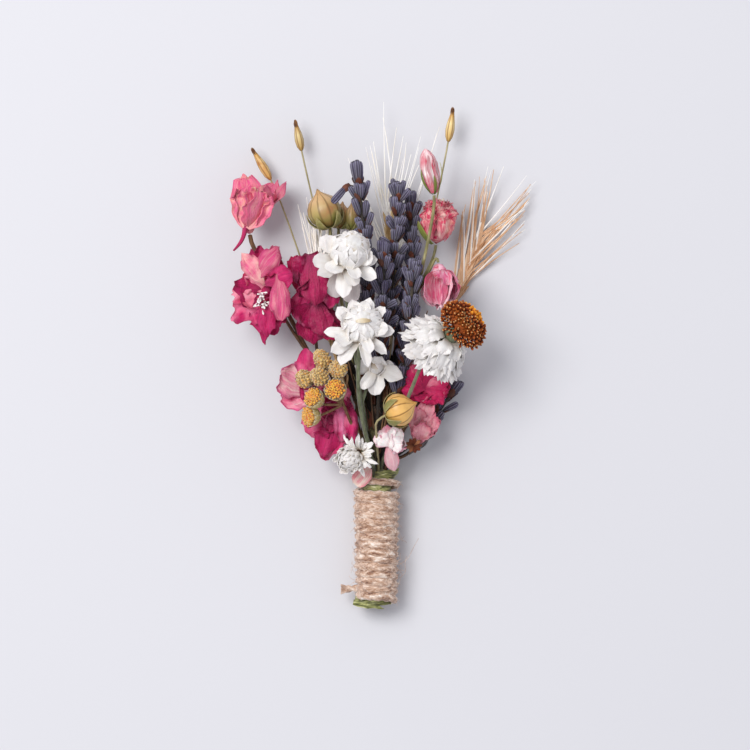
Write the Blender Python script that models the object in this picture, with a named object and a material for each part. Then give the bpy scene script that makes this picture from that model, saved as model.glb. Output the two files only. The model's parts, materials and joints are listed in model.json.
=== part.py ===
# A small dried flower bouquet that lies flat, its stems bound in florist tape and jute twine.
#
# The layout is in millimetres and is scaled to metres as each mesh is made. X runs to the right,
# Y from the cut stems to the flowers, and Z up from the surface that the bouquet lies on.
# Y starts at the lower edge of the tape. The whole bouquet is moved to its box centre at the end.

import math
import random

import bmesh
import bpy
from mathutils import Matrix, Vector

MM = 0.001
SEAT_GAP = 0.3
BLADE = 0.6

# Tie
TWINE_RADIUS = 1.03
TWINE_PITCH = 2.15
TWINE_TURNS = 16.2
TWINE_COIL_RADIUS = 5.75
TWINE_START_Y = 1.6
TWINE_STEPS = 8
TWINE_FLAT = 0.2
TIE_HEIGHT = TWINE_COIL_RADIUS * math.cos(math.pi / TWINE_STEPS) + TWINE_RADIUS - TWINE_FLAT
TAIL_FROM = (-4.6, 5.7, 6.4)
TAIL_TO = (-9.4, 5.2, 6.9)
TAPE_INNER = 3.8
TAPE_OUTER = 4.14
TAPE_TOP = 38.3
TAPE_SIDES = 16
LOOSE_PETAL = ((-1.6, 39.4, 13.4), (-6.3, 34.8, 12.0))

# Stems inside the tie, side by side in a hexagonal packing
SLOT_PITCH = 1.2
STEM_RADIUS = 0.45
STEM_END_Y = 1.2
FAN_START_Y = 38.2
FAN_BEND = 4.0

# How far below its head a stem starts to turn to it, and the same on the short stems at the tie
NECK = 2.5
SHORT_NECK = 0.8

GREEN_TAPE = (0.13, 0.19, 0.05)
JUTE = (0.62, 0.43, 0.29)
PINK = (0.66, 0.10, 0.24)
PALE_PINK = (0.80, 0.45, 0.50)
WHITE = (0.86, 0.84, 0.82)
LAVENDER = (0.09, 0.10, 0.22)
BROWN = (0.16, 0.09, 0.05)
GREEN = (0.16, 0.20, 0.10)
STRAW = (0.72, 0.56, 0.36)
GOLD = (0.62, 0.38, 0.10)
YELLOW = (0.82, 0.45, 0.05)
DISC_BROWN = (0.32, 0.10, 0.03)


def material(name, colour, roughness=0.8):
    """One Principled material for each real material."""
    found = bpy.data.materials.get(name)
    if found:
        return found
    made = bpy.data.materials.new(name)
    made.use_nodes = True
    shader = made.node_tree.nodes["Principled BSDF"]
    shader.inputs["Base Color"].default_value = (*colour, 1)
    shader.inputs["Roughness"].default_value = roughness
    shader.inputs["Metallic"].default_value = 0
    return made


def solid(bm, name="piece"):
    """An object from a closed bmesh, with its faces pointing out."""
    bmesh.ops.recalc_face_normals(bm, faces=bm.faces)
    if bm.calc_volume(signed=True) < 0:
        bmesh.ops.reverse_faces(bm, faces=bm.faces)
    mesh = bpy.data.meshes.new(name)
    bm.to_mesh(mesh)
    bm.free()
    made = bpy.data.objects.new(name, mesh)
    bpy.context.scene.collection.objects.link(made)
    return made


def evaluated_mesh(piece):
    """A new mesh that holds the piece as its modifiers or its curve make it."""
    bpy.context.view_layer.update()
    graph = bpy.context.evaluated_depsgraph_get()
    return bpy.data.meshes.new_from_object(piece.evaluated_get(graph))


def islands(bm):
    """The vertex sets of the separate bodies in a bmesh."""
    left = set(bm.verts)
    found = []
    while left:
        edge_of_search = [left.pop()]
        body = set(edge_of_search)
        while edge_of_search:
            vertex = edge_of_search.pop()
            for edge in vertex.link_edges:
                other = edge.other_vert(vertex)
                if other in left:
                    left.remove(other)
                    body.add(other)
                    edge_of_search.append(other)
        found.append(body)
    return found


def keep_largest_body(mesh):
    """Fills hollows that a union sealed and drops loose scraps, which are both separate small bodies."""
    bm = bmesh.new()
    bm.from_mesh(mesh)
    bodies = islands(bm)
    if len(bodies) > 1:
        bodies.sort(key=lambda body: max(v.co.y for v in body) - min(v.co.y for v in body))
        scraps = [vertex for body in bodies[:-1] for vertex in body]
        bmesh.ops.delete(bm, geom=scraps, context="VERTS")
        bm.to_mesh(mesh)
    bm.free()


def fuse(name, pieces):
    """Joins overlapping pieces into one body by a Boolean union on a collection."""
    body = pieces[0]
    body.name = name
    if len(pieces) == 1:
        return body
    group = bpy.data.collections.new("repeats")
    bpy.context.scene.collection.children.link(group)
    for piece in pieces[1:]:
        group.objects.link(piece)
    union = body.modifiers.new("union", "BOOLEAN")
    union.operation = "UNION"
    union.operand_type = "COLLECTION"
    union.collection = group
    union.solver = "MANIFOLD"
    joined = evaluated_mesh(body)
    body.modifiers.clear()
    body.data = joined
    for piece in pieces[1:]:
        bpy.data.objects.remove(piece)
    bpy.data.collections.remove(group)
    keep_largest_body(joined)
    return body


def press_flat(mesh):
    """Gives a piece that lies on the surface small flats there: what is below z = 0 is cut off."""
    bm = bmesh.new()
    bm.from_mesh(mesh)
    if min(vertex.co.z for vertex in bm.verts) < 0:
        everything = bm.verts[:] + bm.edges[:] + bm.faces[:]
        bmesh.ops.bisect_plane(bm, geom=everything, dist=1e-5, plane_co=(0, 0, 0), plane_no=(0, 0, -1),
                               clear_outer=True)
        rims = [edge for edge in bm.edges if edge.is_boundary]
        bmesh.ops.holes_fill(bm, edges=rims, sides=0)
        bmesh.ops.recalc_face_normals(bm, faces=bm.faces)
        if bm.calc_volume(signed=True) < 0:
            bmesh.ops.reverse_faces(bm, faces=bm.faces)
        bm.to_mesh(mesh)
    bm.free()


def node(name, pieces, finish, origin):
    """Fuses the pieces, gives them a material, and puts the object's origin where the piece is carried."""
    made = fuse(name, pieces)
    press_flat(made.data)
    made.data.name = name
    made.data.materials.clear()
    made.data.materials.append(finish)
    made.data.transform(Matrix.Translation(-Vector(origin)))
    made.data.transform(Matrix.Scale(MM, 4))
    made.location = Vector(origin) * MM
    return made


def axes_between(root, tip, up):
    """A matrix with X from root to tip and Z as near to up as it can be."""
    along = (Vector(tip) - Vector(root)).normalized()
    across = Vector(up).cross(along)
    if across.length < 1e-4:
        across = Vector((0, 1, 0)).cross(along)
    across.normalize()
    normal = along.cross(across)
    turned = Matrix((along, across, normal)).transposed().to_4x4()
    return Matrix.Translation(root) @ turned


def blade(root, tip, up, width, sag=0.0, dish=0.0, wave=0.0, claw=0.35, point=0.15,
          fullest=0.6, rows=4, cols=2, thick=BLADE, seed=0):
    """A petal, bract or leaf: a thin closed blade, split into triangles alike on both faces.

    sag bows it along its length, dish lifts its edges, and wave ruffles its outer edge."""
    draw = random.Random(seed)
    length = (Vector(tip) - Vector(root)).length
    bm = bmesh.new()
    bmesh.ops.create_grid(bm, x_segments=rows, y_segments=cols, size=0.5)
    for vertex in sorted(bm.verts, key=lambda v: (round(v.co.x, 3), round(v.co.y, 3))):
        t = vertex.co.x + 0.5
        side = vertex.co.y * 2
        if t < fullest:
            share = claw + (1 - claw) * math.sin(math.pi / 2 * t / fullest)
        else:
            share = point + (1 - point) * math.cos(math.pi / 2 * (t - fullest) / (1 - fullest))
        lift = -4 * sag * t * (1 - t) + dish * side * side * math.sin(math.pi * min(t, 0.8))
        lift += wave * t * draw.uniform(-1, 1)
        vertex.co = (length * t, side * share * width / 2, lift)
    bmesh.ops.triangulate(bm, faces=bm.faces)
    bmesh.ops.solidify(bm, geom=bm.faces[:], thickness=thick)
    made = solid(bm)
    made.data.transform(axes_between(root, tip, up))
    return made


def turned(root, tip, profile, sides=8, up=(0, 0, 1), ribs=0.0, bumps=0.0, squash=1.0):
    """A body of revolution from root to tip; profile lists (share of the length, radius) from end to end.

    ribs raises every other side, bumps raises the middle of each face, squash flattens it along up."""
    length = (Vector(tip) - Vector(root)).length
    bm = bmesh.new()
    bmesh.ops.create_uvsphere(bm, u_segments=sides, v_segments=len(profile) - 1, radius=1)
    for vertex in bm.verts:
        level = round((1 - math.acos(max(-1, min(1, vertex.co.z))) / math.pi) * (len(profile) - 1))
        share, radius = profile[level]
        angle = math.atan2(vertex.co.y, vertex.co.x)
        step = round(angle / (2 * math.pi / sides))
        if step % 2:
            radius *= 1 + ribs
        vertex.co = (length * share, radius * math.sin(angle), radius * math.cos(angle) * squash)
        if level in (0, len(profile) - 1):
            vertex.co.y = 0
            vertex.co.z = 0
    if bumps:
        bmesh.ops.recalc_face_normals(bm, faces=bm.faces)
        if bm.calc_volume(signed=True) < 0:
            bmesh.ops.reverse_faces(bm, faces=bm.faces)
        bmesh.ops.poke(bm, faces=bm.faces, offset=bumps, center_mode="MEAN_WEIGHTED")
    made = solid(bm)
    made.data.transform(axes_between(root, tip, up))
    return made


def spike(root, tip, root_radius, tip_radius, sides=5):
    """A straight tapered rod with flat ends: a calyx, an awn or a floret."""
    length = (Vector(tip) - Vector(root)).length
    bm = bmesh.new()
    bmesh.ops.create_cone(bm, cap_ends=True, segments=sides, radius1=root_radius,
                          radius2=tip_radius, depth=length)
    bmesh.ops.translate(bm, verts=bm.verts, vec=(0, 0, length / 2))
    made = solid(bm)
    upright = axes_between(root, tip, (0.1, 0.2, 1)) @ Matrix.Rotation(math.pi / 2, 4, "Y")
    made.data.transform(upright)
    return made


def rod(points, radii, bevel=0):
    """A stem along a route: a bevelled curve with filled caps, 4 sides at bevel 0 and 6 at bevel 1."""
    data = bpy.data.curves.new("route", "CURVE")
    data.dimensions = "3D"
    data.bevel_depth = 1.0
    data.bevel_resolution = bevel
    data.use_fill_caps = True
    spline = data.splines.new("POLY")
    spline.points.add(len(points) - 1)
    for place, (point, radius) in enumerate(zip(points, radii)):
        spline.points[place].co = (*point, 1)
        spline.points[place].radius = radius
    curve = bpy.data.objects.new("route", data)
    bpy.context.scene.collection.objects.link(curve)
    bm = bmesh.new()
    bm.from_mesh(evaluated_mesh(curve))
    bmesh.ops.remove_doubles(bm, verts=bm.verts, dist=1e-4)
    bpy.data.objects.remove(curve)
    return solid(bm)


def hexagonal_slots(count):
    """The places of the stems inside the tie, from the middle out, as (x, z)."""
    places = []
    for row in range(-3, 4):
        for column in range(-4, 5):
            x = SLOT_PITCH * (column + 0.5 * (row % 2))
            z = SLOT_PITCH * row * math.sqrt(3) / 2
            places.append((x, z))
    places.sort(key=lambda p: (round(math.hypot(*p), 3), -p[1], p[0]))
    return [(x, TIE_HEIGHT + z) for x, z in places[:count]]


def fan(y):
    """How far a stem has leaned out at y, for a lean of 1."""
    rise = max(0.0, y - FAN_START_Y)
    if rise < FAN_BEND:
        return rise * rise / (2 * FAN_BEND)
    return rise - FAN_BEND / 2


def assign_slots(ends):
    """Gives each stem a slot so that no stems cross: slots are swapped until each pair agrees."""
    names = sorted(ends)
    slots = hexagonal_slots(len(names))
    leans = {}
    for name in names:
        x, y, z = ends[name]
        reach = fan(y)
        leans[name] = (x / reach, (z - TIE_HEIGHT) / reach)
    places = dict(zip(names, slots))
    swapped = True
    while swapped:
        swapped = False
        for first in names:
            for second in names:
                dx = places[first][0] - places[second][0]
                dz = places[first][1] - places[second][1]
                lean_x = leans[first][0] - leans[second][0]
                lean_z = leans[first][1] - leans[second][1]
                if dx * lean_x + dz * lean_z < -1e-9:
                    places[first], places[second] = places[second], places[first]
                    swapped = True
    return places


def stem_route(slot, end, bow=(0, 0, 0), steps=4):
    """Points from the cut end up through the tie and on in a fan to the neck below a head."""
    x, z = slot
    end = Vector(end)
    reach = fan(end.y)
    lean_x = (end.x - x) / reach
    lean_z = (end.z - z) / reach
    points = [Vector((x, STEM_END_Y, z)), Vector((x, FAN_START_Y, z))]
    bend_end = min(FAN_START_Y + FAN_BEND, FAN_START_Y + 0.7 * (end.y - FAN_START_Y))
    heights = [FAN_START_Y + (bend_end - FAN_START_Y) * share for share in (0.5, 1.0)]
    heights += [bend_end + (end.y - bend_end) * step / steps for step in range(1, steps + 1)]
    for y in heights:
        share = (y - FAN_START_Y) / (end.y - FAN_START_Y)
        swing = math.sin(math.pi * share)
        points.append(Vector((x + lean_x * fan(y) + bow[0] * swing, y,
                              z + lean_z * fan(y) + bow[2] * swing)))
    return points


def neck(base, facing, below=NECK):
    """The point where a stem starts to turn into the back of a head."""
    return Vector(base) - Vector(facing).normalized() * (SEAT_GAP + below)


def seat(base, facing):
    """The point where a stem stops, just clear of the head's back."""
    return Vector(base) - Vector(facing).normalized() * SEAT_GAP


def stem_with_seat(slot, base, facing, tip_radius=0.5, below=NECK):
    """A stem that ends in the back of a head."""
    points = stem_route(slot, neck(base, facing, below))
    points.append(seat(base, facing))
    radii = [STEM_RADIUS] * 3 + [tip_radius] * (len(points) - 3)
    return rod(points, radii)


def branch(start, base, facing, radius=STEM_RADIUS, below=NECK):
    """A side branch from a point inside a stem to the back of a head."""
    start = Vector(start)
    turn = neck(base, facing, below)
    middle = start.lerp(turn, 0.5) + Vector((0, -0.06, 0)) * (turn - start).length
    return rod([start, middle, turn, seat(base, facing)], [radius] * 4)


# Larkspur blooms. Each has its base, the way it faces, and its petals as (tip, width, sag, dish).
# A bloom with a small heart has small petals, with one row of faces less.
SMALL_HEART = 1.7
TOP_LEFT_BLOOM = {
    "base": (-35.4, 104.6, 11.0), "facing": (-0.1, 0.95, 0.2), "heart": 2.2,
    "petals": [((-40.4, 119.4, 13.5), 7.0, 1.8, 1.0), ((-36.6, 121.0, 17.0), 7.0, 1.4, 1.2),
               ((-31.6, 118.4, 18.0), 7.4, 1.6, 1.0), ((-28.2, 116.6, 14.4), 6.6, 1.6, 1.0),
               ((-24.6, 119.2, 11.0), 7.2, 0.8, 1.2), ((-34.0, 119.6, 9.4), 7.6, 0.8, 0.8)],
}
LEFT_BLOOM = {
    "base": (-30.2, 88.5, 14.0), "facing": (-0.15, 0.0, 1.0), "heart": 2.4,
    "petals": [((-41.0, 90.4, 17.0), 9.4, 0.8, 0.8), ((-41.2, 79.6, 15.6), 8.6, 0.8, 0.8),
               ((-30.2, 73.2, 16.6), 9.2, 0.8, 1.0), ((-34.2, 102.6, 16.0), 9.2, 0.8, 1.0),
               ((-27.2, 102.8, 19.6), 6.4, 0.6, 0.8), ((-24.4, 80.8, 20.6), 8.0, 1.2, 1.0),
               ((-25.0, 93.6, 22.4), 7.6, 1.0, 0.8), ((-34.0, 84.4, 21.6), 4.6, 0.4, 0.6)],
}
MIDDLE_LEFT_BLOOM = {
    "base": (-17.4, 86.0, 14.6), "facing": (0.1, 0.1, 1.0), "heart": 2.0,
    "petals": [((-21.6, 99.8, 19.0), 6.4, 0.8, 0.8), ((-16.0, 100.4, 15.4), 6.8, 0.6, 0.8),
               ((-13.4, 91.8, 17.0), 6.6, 0.4, 0.6), ((-12.0, 84.0, 18.0), 6.6, 0.4, 0.6),
               ((-10.8, 75.2, 15.6), 6.6, 0.8, 0.8), ((-18.6, 73.4, 17.4), 7.4, 0.6, 0.8),
               ((-20.4, 92.6, 23.0), 6.0, 0.8, 0.8)],
}
LOW_LEFT_BLOOM = {
    "base": (-17.0, 60.0, 10.4), "facing": (-0.3, 0.4, 0.9), "heart": 1.8,
    "petals": [((-27.8, 66.0, 13.4), 10.0, 0.8, 1.2), ((-27.0, 57.0, 12.4), 8.6, 0.6, 0.8),
               ((-20.6, 72.4, 15.4), 6.4, 0.8, 0.8), ((-14.6, 67.0, 15.0), 6.4, 0.4, 0.6)],
}
LOW_BLOOM = {
    "base": (-9.4, 52.4, 10.2), "facing": (-0.5, 0.5, 0.7), "heart": 2.0,
    "petals": [((-20.6, 51.6, 13.0), 9.8, 0.8, 0.8), ((-14.4, 40.8, 12.4), 9.4, 0.8, 0.8),
               ((-14.2, 60.4, 14.6), 7.8, 0.6, 0.6), ((-8.2, 62.8, 13.4), 6.6, 0.6, 0.6),
               ((-6.4, 45.0, 11.6), 5.0, 0.4, 0.6), ((-15.0, 48.6, 14.4), 5.0, 0.4, 0.8)],
}
RIGHT_BLOOM = {
    "base": (13.6, 60.6, 11.6), "facing": (0.1, 0.3, 0.95), "heart": 1.8,
    "petals": [((7.2, 60.6, 12.4), 5.4, 0.4, 0.6), ((11.2, 68.0, 14.4), 6.6, 0.4, 0.6),
               ((17.8, 67.2, 14.6), 7.0, 0.4, 0.6), ((21.0, 61.0, 14.4), 7.0, 0.4, 0.6),
               ((13.6, 56.4, 15.6), 5.0, 0.2, 0.6)],
}
LOW_RIGHT_BLOOM = {
    "base": (10.4, 45.6, 9.4), "facing": (0.4, 0.8, 0.5), "heart": 1.6,
    "petals": [((13.4, 56.0, 11.0), 5.0, 0.6, 0.8), ((17.8, 55.0, 11.4), 5.4, 0.4, 0.8),
               ((17.4, 49.8, 12.4), 5.4, 0.4, 0.8), ((14.0, 52.0, 14.2), 4.2, 0.2, 0.6)],
}
FRONT_BLOOM = {
    "base": (4.6, 42.6, 12.8), "facing": (0.2, 0.8, 0.55), "heart": 1.2,
    "petals": [((2.6, 48.4, 18.0), 3.8, 0.4, 0.6), ((4.6, 50.4, 15.6), 4.0, 0.4, 0.6),
               ((8.2, 49.0, 15.6), 4.2, 0.4, 0.6), ((7.6, 45.0, 17.6), 4.0, 0.3, 0.6)],
}
ROSE_BLOOM = {
    "base": (17.2, 96.4, 16.6), "facing": (0.1, -0.95, 0.2), "heart": 3.0,
    "petals": [((15.4, 84.2, 17.6), 5.6, 1.4, 1.0), ((19.0, 83.2, 19.2), 6.0, 1.4, 1.0),
               ((22.4, 86.4, 16.6), 5.6, 1.6, 1.0), ((22.2, 91.4, 19.4), 4.6, 0.8, 0.8),
               ((18.0, 84.4, 13.6), 5.6, 1.2, 1.0)],
}

# White everlastings: middle of the ring of bracts, the way the head faces, ring radius, bracts
UPPER_EVERLASTING = {"middle": (-8.8, 97.0, 26.0), "facing": (0.18, 0.42, 0.85), "radius": 9.6, "bracts": 10,
                     "inner": 5, "dome": 4.6}
MIDDLE_EVERLASTING = {"middle": (-4.6, 77.2, 30.0), "facing": (0.0, 0.3, 0.94), "radius": 9.8, "bracts": 10,
                      "inner": 5, "dome": 4.6}
BACK_EVERLASTING = {"middle": (0.0, 67.6, 19.0), "facing": (0.2, -0.3, 0.93), "radius": 6.6, "bracts": 7,
                    "inner": 0, "dome": 2.2}
SMALL_EVERLASTING = {"middle": (-5.0, 43.2, 19.0), "facing": (-0.4, -0.3, 0.85), "radius": 6.4, "bracts": 7,
                     "inner": 0, "dome": 2.4}

CUP_DEPTH = 2.4

# Bracts alternate in height, so that they lie over each other: share of the ring radius at the tip, and root
BRACT_RISE = (0.04, 0.2, 0.46, 0.62)
BRACT_ROOT = (-0.9, -0.1, 0.6, 1.4)

# Paper daisy
DAISY_MIDDLE = (17.0, 73.2, 25.0)
DAISY_FACING = (0.64, 0.54, 0.55)
DAISY_RADIUS = 10.0
DAISY_DISC_RADIUS = 7.0
DAISY_DISC_HEIGHT = 6.2
DAISY_DISC_RISE = 6.9

# Lavender: the way from the lowest whorl to the tip, and the whorls
LAVENDER_SPIKES = {
    "lavender_1": {"low": (-2.6, 98.0, 17.6), "tip": (-5.8, 125.4, 20.4), "whorls": 5},
    "lavender_2": {"low": (4.9, 95.0, 13.0), "tip": (6.2, 119.5, 16.4), "whorls": 5},
    "lavender_3": {"low": (10.0, 94.0, 9.2), "tip": (9.4, 117.0, 10.0), "whorls": 4},
    "lavender_4": {"low": (1.9, 80.0, 18.6), "tip": (1.9, 103.0, 20.4), "whorls": 5},
    "lavender_5": {"low": (8.0, 69.0, 16.8), "tip": (10.8, 98.0, 21.8), "whorls": 6},
    "lavender_6": {"low": (12.8, 48.0, 4.4), "tip": (23.4, 64.0, 4.2), "whorls": 4},
}
CALYX_LENGTH = 5.0
CALYX_ROOT = 0.42
CALYX_MOUTH = 1.12
WHORL_CALYXES = 4

# Wheat: the ear from its foot to its top, and its awn tips
WHEAT_EARS = {
    "wheat_left": {"foot": (-12.6, 74.0, 8.4), "top": (-15.6, 93.0, 8.2), "spikelets": 6,
                   "awns": [(-22.0, 113.0, 6.0), (-9.6, 112.0, 6.0), (-19.6, 115.0, 5.0), (-12.6, 115.0, 5.0),
                            (-17.4, 116.0, 7.0), (-14.8, 117.0, 5.6)]},
    "wheat_middle": {"foot": (5.6, 88.0, 5.2), "top": (3.8, 108.0, 5.4), "spikelets": 6,
                     "awns": [(-8.0, 126.0, 4.0), (17.6, 134.6, 5.0), (-3.0, 129.0, 6.4), (12.4, 132.0, 4.4),
                              (2.0, 141.6, 5.4), (5.6, 134.4, 6.0)]},
    "wheat_right": {"foot": (21.0, 84.0, 1.0), "top": (27.8, 101.0, 1.3), "spikelets": 8,
                    "awns": [(24.6, 112.0, 3.4), (41.6, 106.0, 3.0), (27.4, 120.0, 4.4), (42.6, 113.6, 4.0),
                             (31.2, 123.6, 3.4), (44.6, 119.4, 3.0), (35.6, 123.6, 4.4), (42.0, 121.0, 5.0)]},
}

# Flax bolls: base, tip, radius. A small one keeps no sepals.
LARGE_BOLL = 4.0
SPRAY_BOLLS = [((-13.0, 106.2, 17.0), (-16.6, 117.2, 18.0), 4.7),
               ((-10.6, 106.0, 11.6), (-9.4, 113.8, 11.4), 2.9),
               ((-7.2, 105.6, 13.0), (-7.0, 113.6, 13.4), 1.8)]
FRONT_BOLL = ((2.4, 54.0, 24.4), (11.4, 57.6, 25.4), 4.6)

# Seed capsules: base, tip
CAPSULES = {"capsule_left": ((-29.4, 119.6, 5.0), (-34.6, 128.2, 5.0)),
            "capsule_middle": ((-20.9, 127.7, 5.8), (-22.6, 135.8, 6.2)),
            "capsule_right": ((20.0, 130.2, 6.4), (21.4, 139.4, 6.8))}

# Yellow buttons: base, top, radius, open or closed. Their stems part at the hub.
BUTTON_HUB = (-9.6, 58.0, 20.0)
BUTTONS = [((-8.6, 65.6, 22.6), (-12.2, 68.0, 25.4), 2.4, False),
           ((-10.6, 60.2, 23.4), (-11.8, 61.6, 28.4), 2.6, True),
           ((-13.4, 66.4, 20.6), (-16.4, 71.8, 23.4), 2.1, False),
           ((-14.2, 63.2, 22.4), (-17.2, 66.2, 26.4), 2.2, False),
           ((-17.8, 62.2, 19.0), (-21.6, 65.8, 20.6), 2.2, False),
           ((-15.6, 57.4, 20.6), (-18.2, 59.4, 24.6), 2.4, True),
           ((-16.0, 54.0, 17.6), (-19.6, 53.6, 20.6), 2.4, True)]

ROSE_BUD = ((16.0, 115.6, 20.6), (14.0, 128.4, 21.2))
ROSE_BALL = ((16.6, 101.8, 13.0), (18.0, 115.2, 13.0))
ROSE_BALL_PETALS = 6

# Heights where side branches leave their stalks
LEFT_BRANCHES_Y = (70, 66, 45)
RIGHT_BRANCH_Y = 41
EVERLASTING_BRANCH_Y = 56
FLAX_BRANCH_Y = 94
ROSE_BALL_BRANCH_Y = 90
ROSE_BLOOM_BRANCH_Y = 88

# A bow that takes the front everlasting's stem clear of the button stem
FRONT_STEM_BOW = (-2.6, 0, 1.2)

TENDRIL = ((-36.6, 107.0, 14.0), (-39.8, 100.4, 15.0))
SPUR = ((-31.2, 89.6, 15.8), (-34.0, 95.0, -0.3))


def larkspur_bloom(name, bloom, finish, seed, extras=()):
    """A bloom with its petals rooted in a small heart."""
    base = Vector(bloom["base"])
    facing = Vector(bloom["facing"]).normalized()
    heart = bloom["heart"]
    core = turned(base, base + facing * heart * 1.6,
                  [(0, 0), (0.2, heart * 0.62), (0.6, heart * 0.72), (1, 0)], sides=6)
    middle = base + facing * heart * 0.75
    pieces = [core]
    for place, (tip, width, sag, dish) in enumerate(bloom["petals"]):
        away = (Vector(tip) - middle).normalized()
        outward = (away - facing * away.dot(facing)).normalized()
        up = facing if abs(away.dot(facing)) < 0.8 else -outward
        root = middle + outward * heart * 0.4
        pieces.append(blade(root, tip, up, width, sag, dish, wave=0.5, claw=0.22, point=0.22,
                            fullest=0.62, rows=3 if heart > SMALL_HEART else 2, seed=seed + place))
    pieces += extras
    return node(name, pieces, finish, bloom["base"])


def everlasting(name, head, finish, seed):
    """A white everlasting: a ring of pointed papery bracts round a closed dome."""
    draw = random.Random(seed)
    facing = Vector(head["facing"]).normalized()
    middle = Vector(head["middle"])
    side = facing.cross(Vector((0, 1, 0))).normalized()
    other = facing.cross(side)
    dome = head["dome"]
    cup_base = middle - facing * CUP_DEPTH
    core = turned(cup_base, middle + facing * dome * 1.25,
                  [(0, 0), (0.12, dome * 0.5), (0.45, dome * 0.94), (0.8, dome * 0.8), (1, 0)], sides=8)
    pieces = [core]
    for ring, count in ((0, head["bracts"]), (1, head["inner"])):
        for place in range(count):
            angle = 2 * math.pi * (place + 0.5 * ring) / count + draw.uniform(-0.1, 0.1)
            away = side * math.cos(angle) + other * math.sin(angle)
            reach = head["radius"] * (1 - 0.28 * ring) * draw.uniform(0.92, 1.06)
            layer = 2 * ring + place % 2
            rise = head["radius"] * BRACT_RISE[layer]
            root = middle + away * dome * 0.45 + facing * BRACT_ROOT[layer]
            tip = middle + away * reach + facing * rise
            pieces.append(blade(root, tip, facing, 3.6, sag=0.4, claw=0.4, point=0.2,
                                fullest=0.5, rows=2, cols=1))
    return node(name, pieces, finish, cup_base)


def cup_back(head):
    """The back of an everlasting, where its stem meets it."""
    return Vector(head["middle"]) - Vector(head["facing"]).normalized() * CUP_DEPTH


def daisy():
    """The paper daisy: ragged bracts that bend back, and a domed disc of florets just off them."""
    draw = random.Random(51)
    facing = Vector(DAISY_FACING).normalized()
    middle = Vector(DAISY_MIDDLE)
    side = facing.cross(Vector((0, 0, 1))).normalized()
    other = facing.cross(side)
    back = middle - facing * 3.0
    cup = turned(back, middle + facing * (DAISY_DISC_RISE - 0.4), [(0, 0), (0.2, 2.4), (0.8, 4.6), (1, 0)], sides=8)
    pieces = [cup]
    count = 13
    for place in range(count):
        angle = 2 * math.pi * place / count
        away = side * math.cos(angle) + other * math.sin(angle)
        reach = DAISY_RADIUS * draw.uniform(0.9, 1.08)
        root = middle + away * 2.4 - facing * (1.2 if place % 2 else 0.4)
        drop = 3.8 if place % 2 else 1.2
        tip = middle + away * reach - facing * drop
        pieces.append(blade(root, tip, facing, 4.0, sag=-0.7, claw=0.35, point=0.3, fullest=0.6,
                            rows=2, cols=1))
    node("daisy_bracts", pieces, material("papery bracts", WHITE), back)
    foot = middle + facing * DAISY_DISC_RISE
    height = DAISY_DISC_HEIGHT
    wide = DAISY_DISC_RADIUS
    disc = turned(foot, foot + facing * height,
                  [(0, 0), (0.06, wide * 0.72), (0.3, wide), (0.62, wide * 0.86), (0.88, wide * 0.5), (1, 0)],
                  sides=14, bumps=0.45)
    node("daisy_disc", [disc], material("disc florets", DISC_BROWN), foot)
    return back, facing


def lavender(name, spike_of, slot, seed):
    """A lavender spike: its stem and whorls of ribbed calyxes, fused."""
    draw = random.Random(seed)
    low = Vector(spike_of["low"])
    tip = Vector(spike_of["tip"])
    along = (tip - low).normalized()
    points = stem_route(slot, low)
    points.append(low.lerp(tip, 0.5))
    points.append(tip - along * CALYX_LENGTH * 0.6)
    pieces = [rod(points, [STEM_RADIUS] * (len(points) - 2) + [0.5, 0.5])]
    side = along.cross(Vector((0, 0, 1))).normalized()
    other = along.cross(side)
    whorls = spike_of["whorls"]
    for whorl in range(whorls):
        share = whorl / whorls
        centre = low.lerp(tip, share)
        for place in range(WHORL_CALYXES):
            angle = 2 * math.pi * (place + 0.5 * (whorl % 2)) / WHORL_CALYXES + draw.uniform(-0.15, 0.15)
            away = side * math.cos(angle) + other * math.sin(angle)
            splay = draw.uniform(0.36, 0.46)
            root = centre + away * 0.3 + along * (0.8 * (place % 2))
            end = root + (along * math.cos(splay) + away * math.sin(splay)) * CALYX_LENGTH
            pieces.append(spike(root, end, CALYX_ROOT, CALYX_MOUTH, 4))
    pieces.append(spike(tip - along * CALYX_LENGTH, tip, CALYX_ROOT, CALYX_MOUTH, 4))
    return node(name, pieces, material("lavender", LAVENDER), low)


def wheat(name, ear, slot):
    """A bearded ear of wheat on its stem: spikelets in two rows, each row tipped with long awns."""
    foot = Vector(ear["foot"])
    top = Vector(ear["top"])
    along = (top - foot).normalized()
    side = along.cross(Vector((0, 0, 1))).normalized()
    points = stem_route(slot, foot)
    points.append(top)
    pieces = [rod(points, [STEM_RADIUS] * len(points))]
    count = ear["spikelets"]
    tips = []
    for place in range(count):
        hand = 1 if place % 2 else -1
        root = foot.lerp(top, place / count) - side * hand * 0.1
        tip = root + along * 6.4 + side * hand * 1.9
        pieces.append(turned(root, tip, [(0, 0), (0.4, 1.3), (1, 0)], sides=6))
        tips.append(root.lerp(tip, 0.7))
    for start, awn_tip in zip(tips, ear["awns"]):
        pieces.append(spike(start, awn_tip, 0.36, 0.14, 3))
    return node(name, pieces, material("straw", STRAW), foot)


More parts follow.
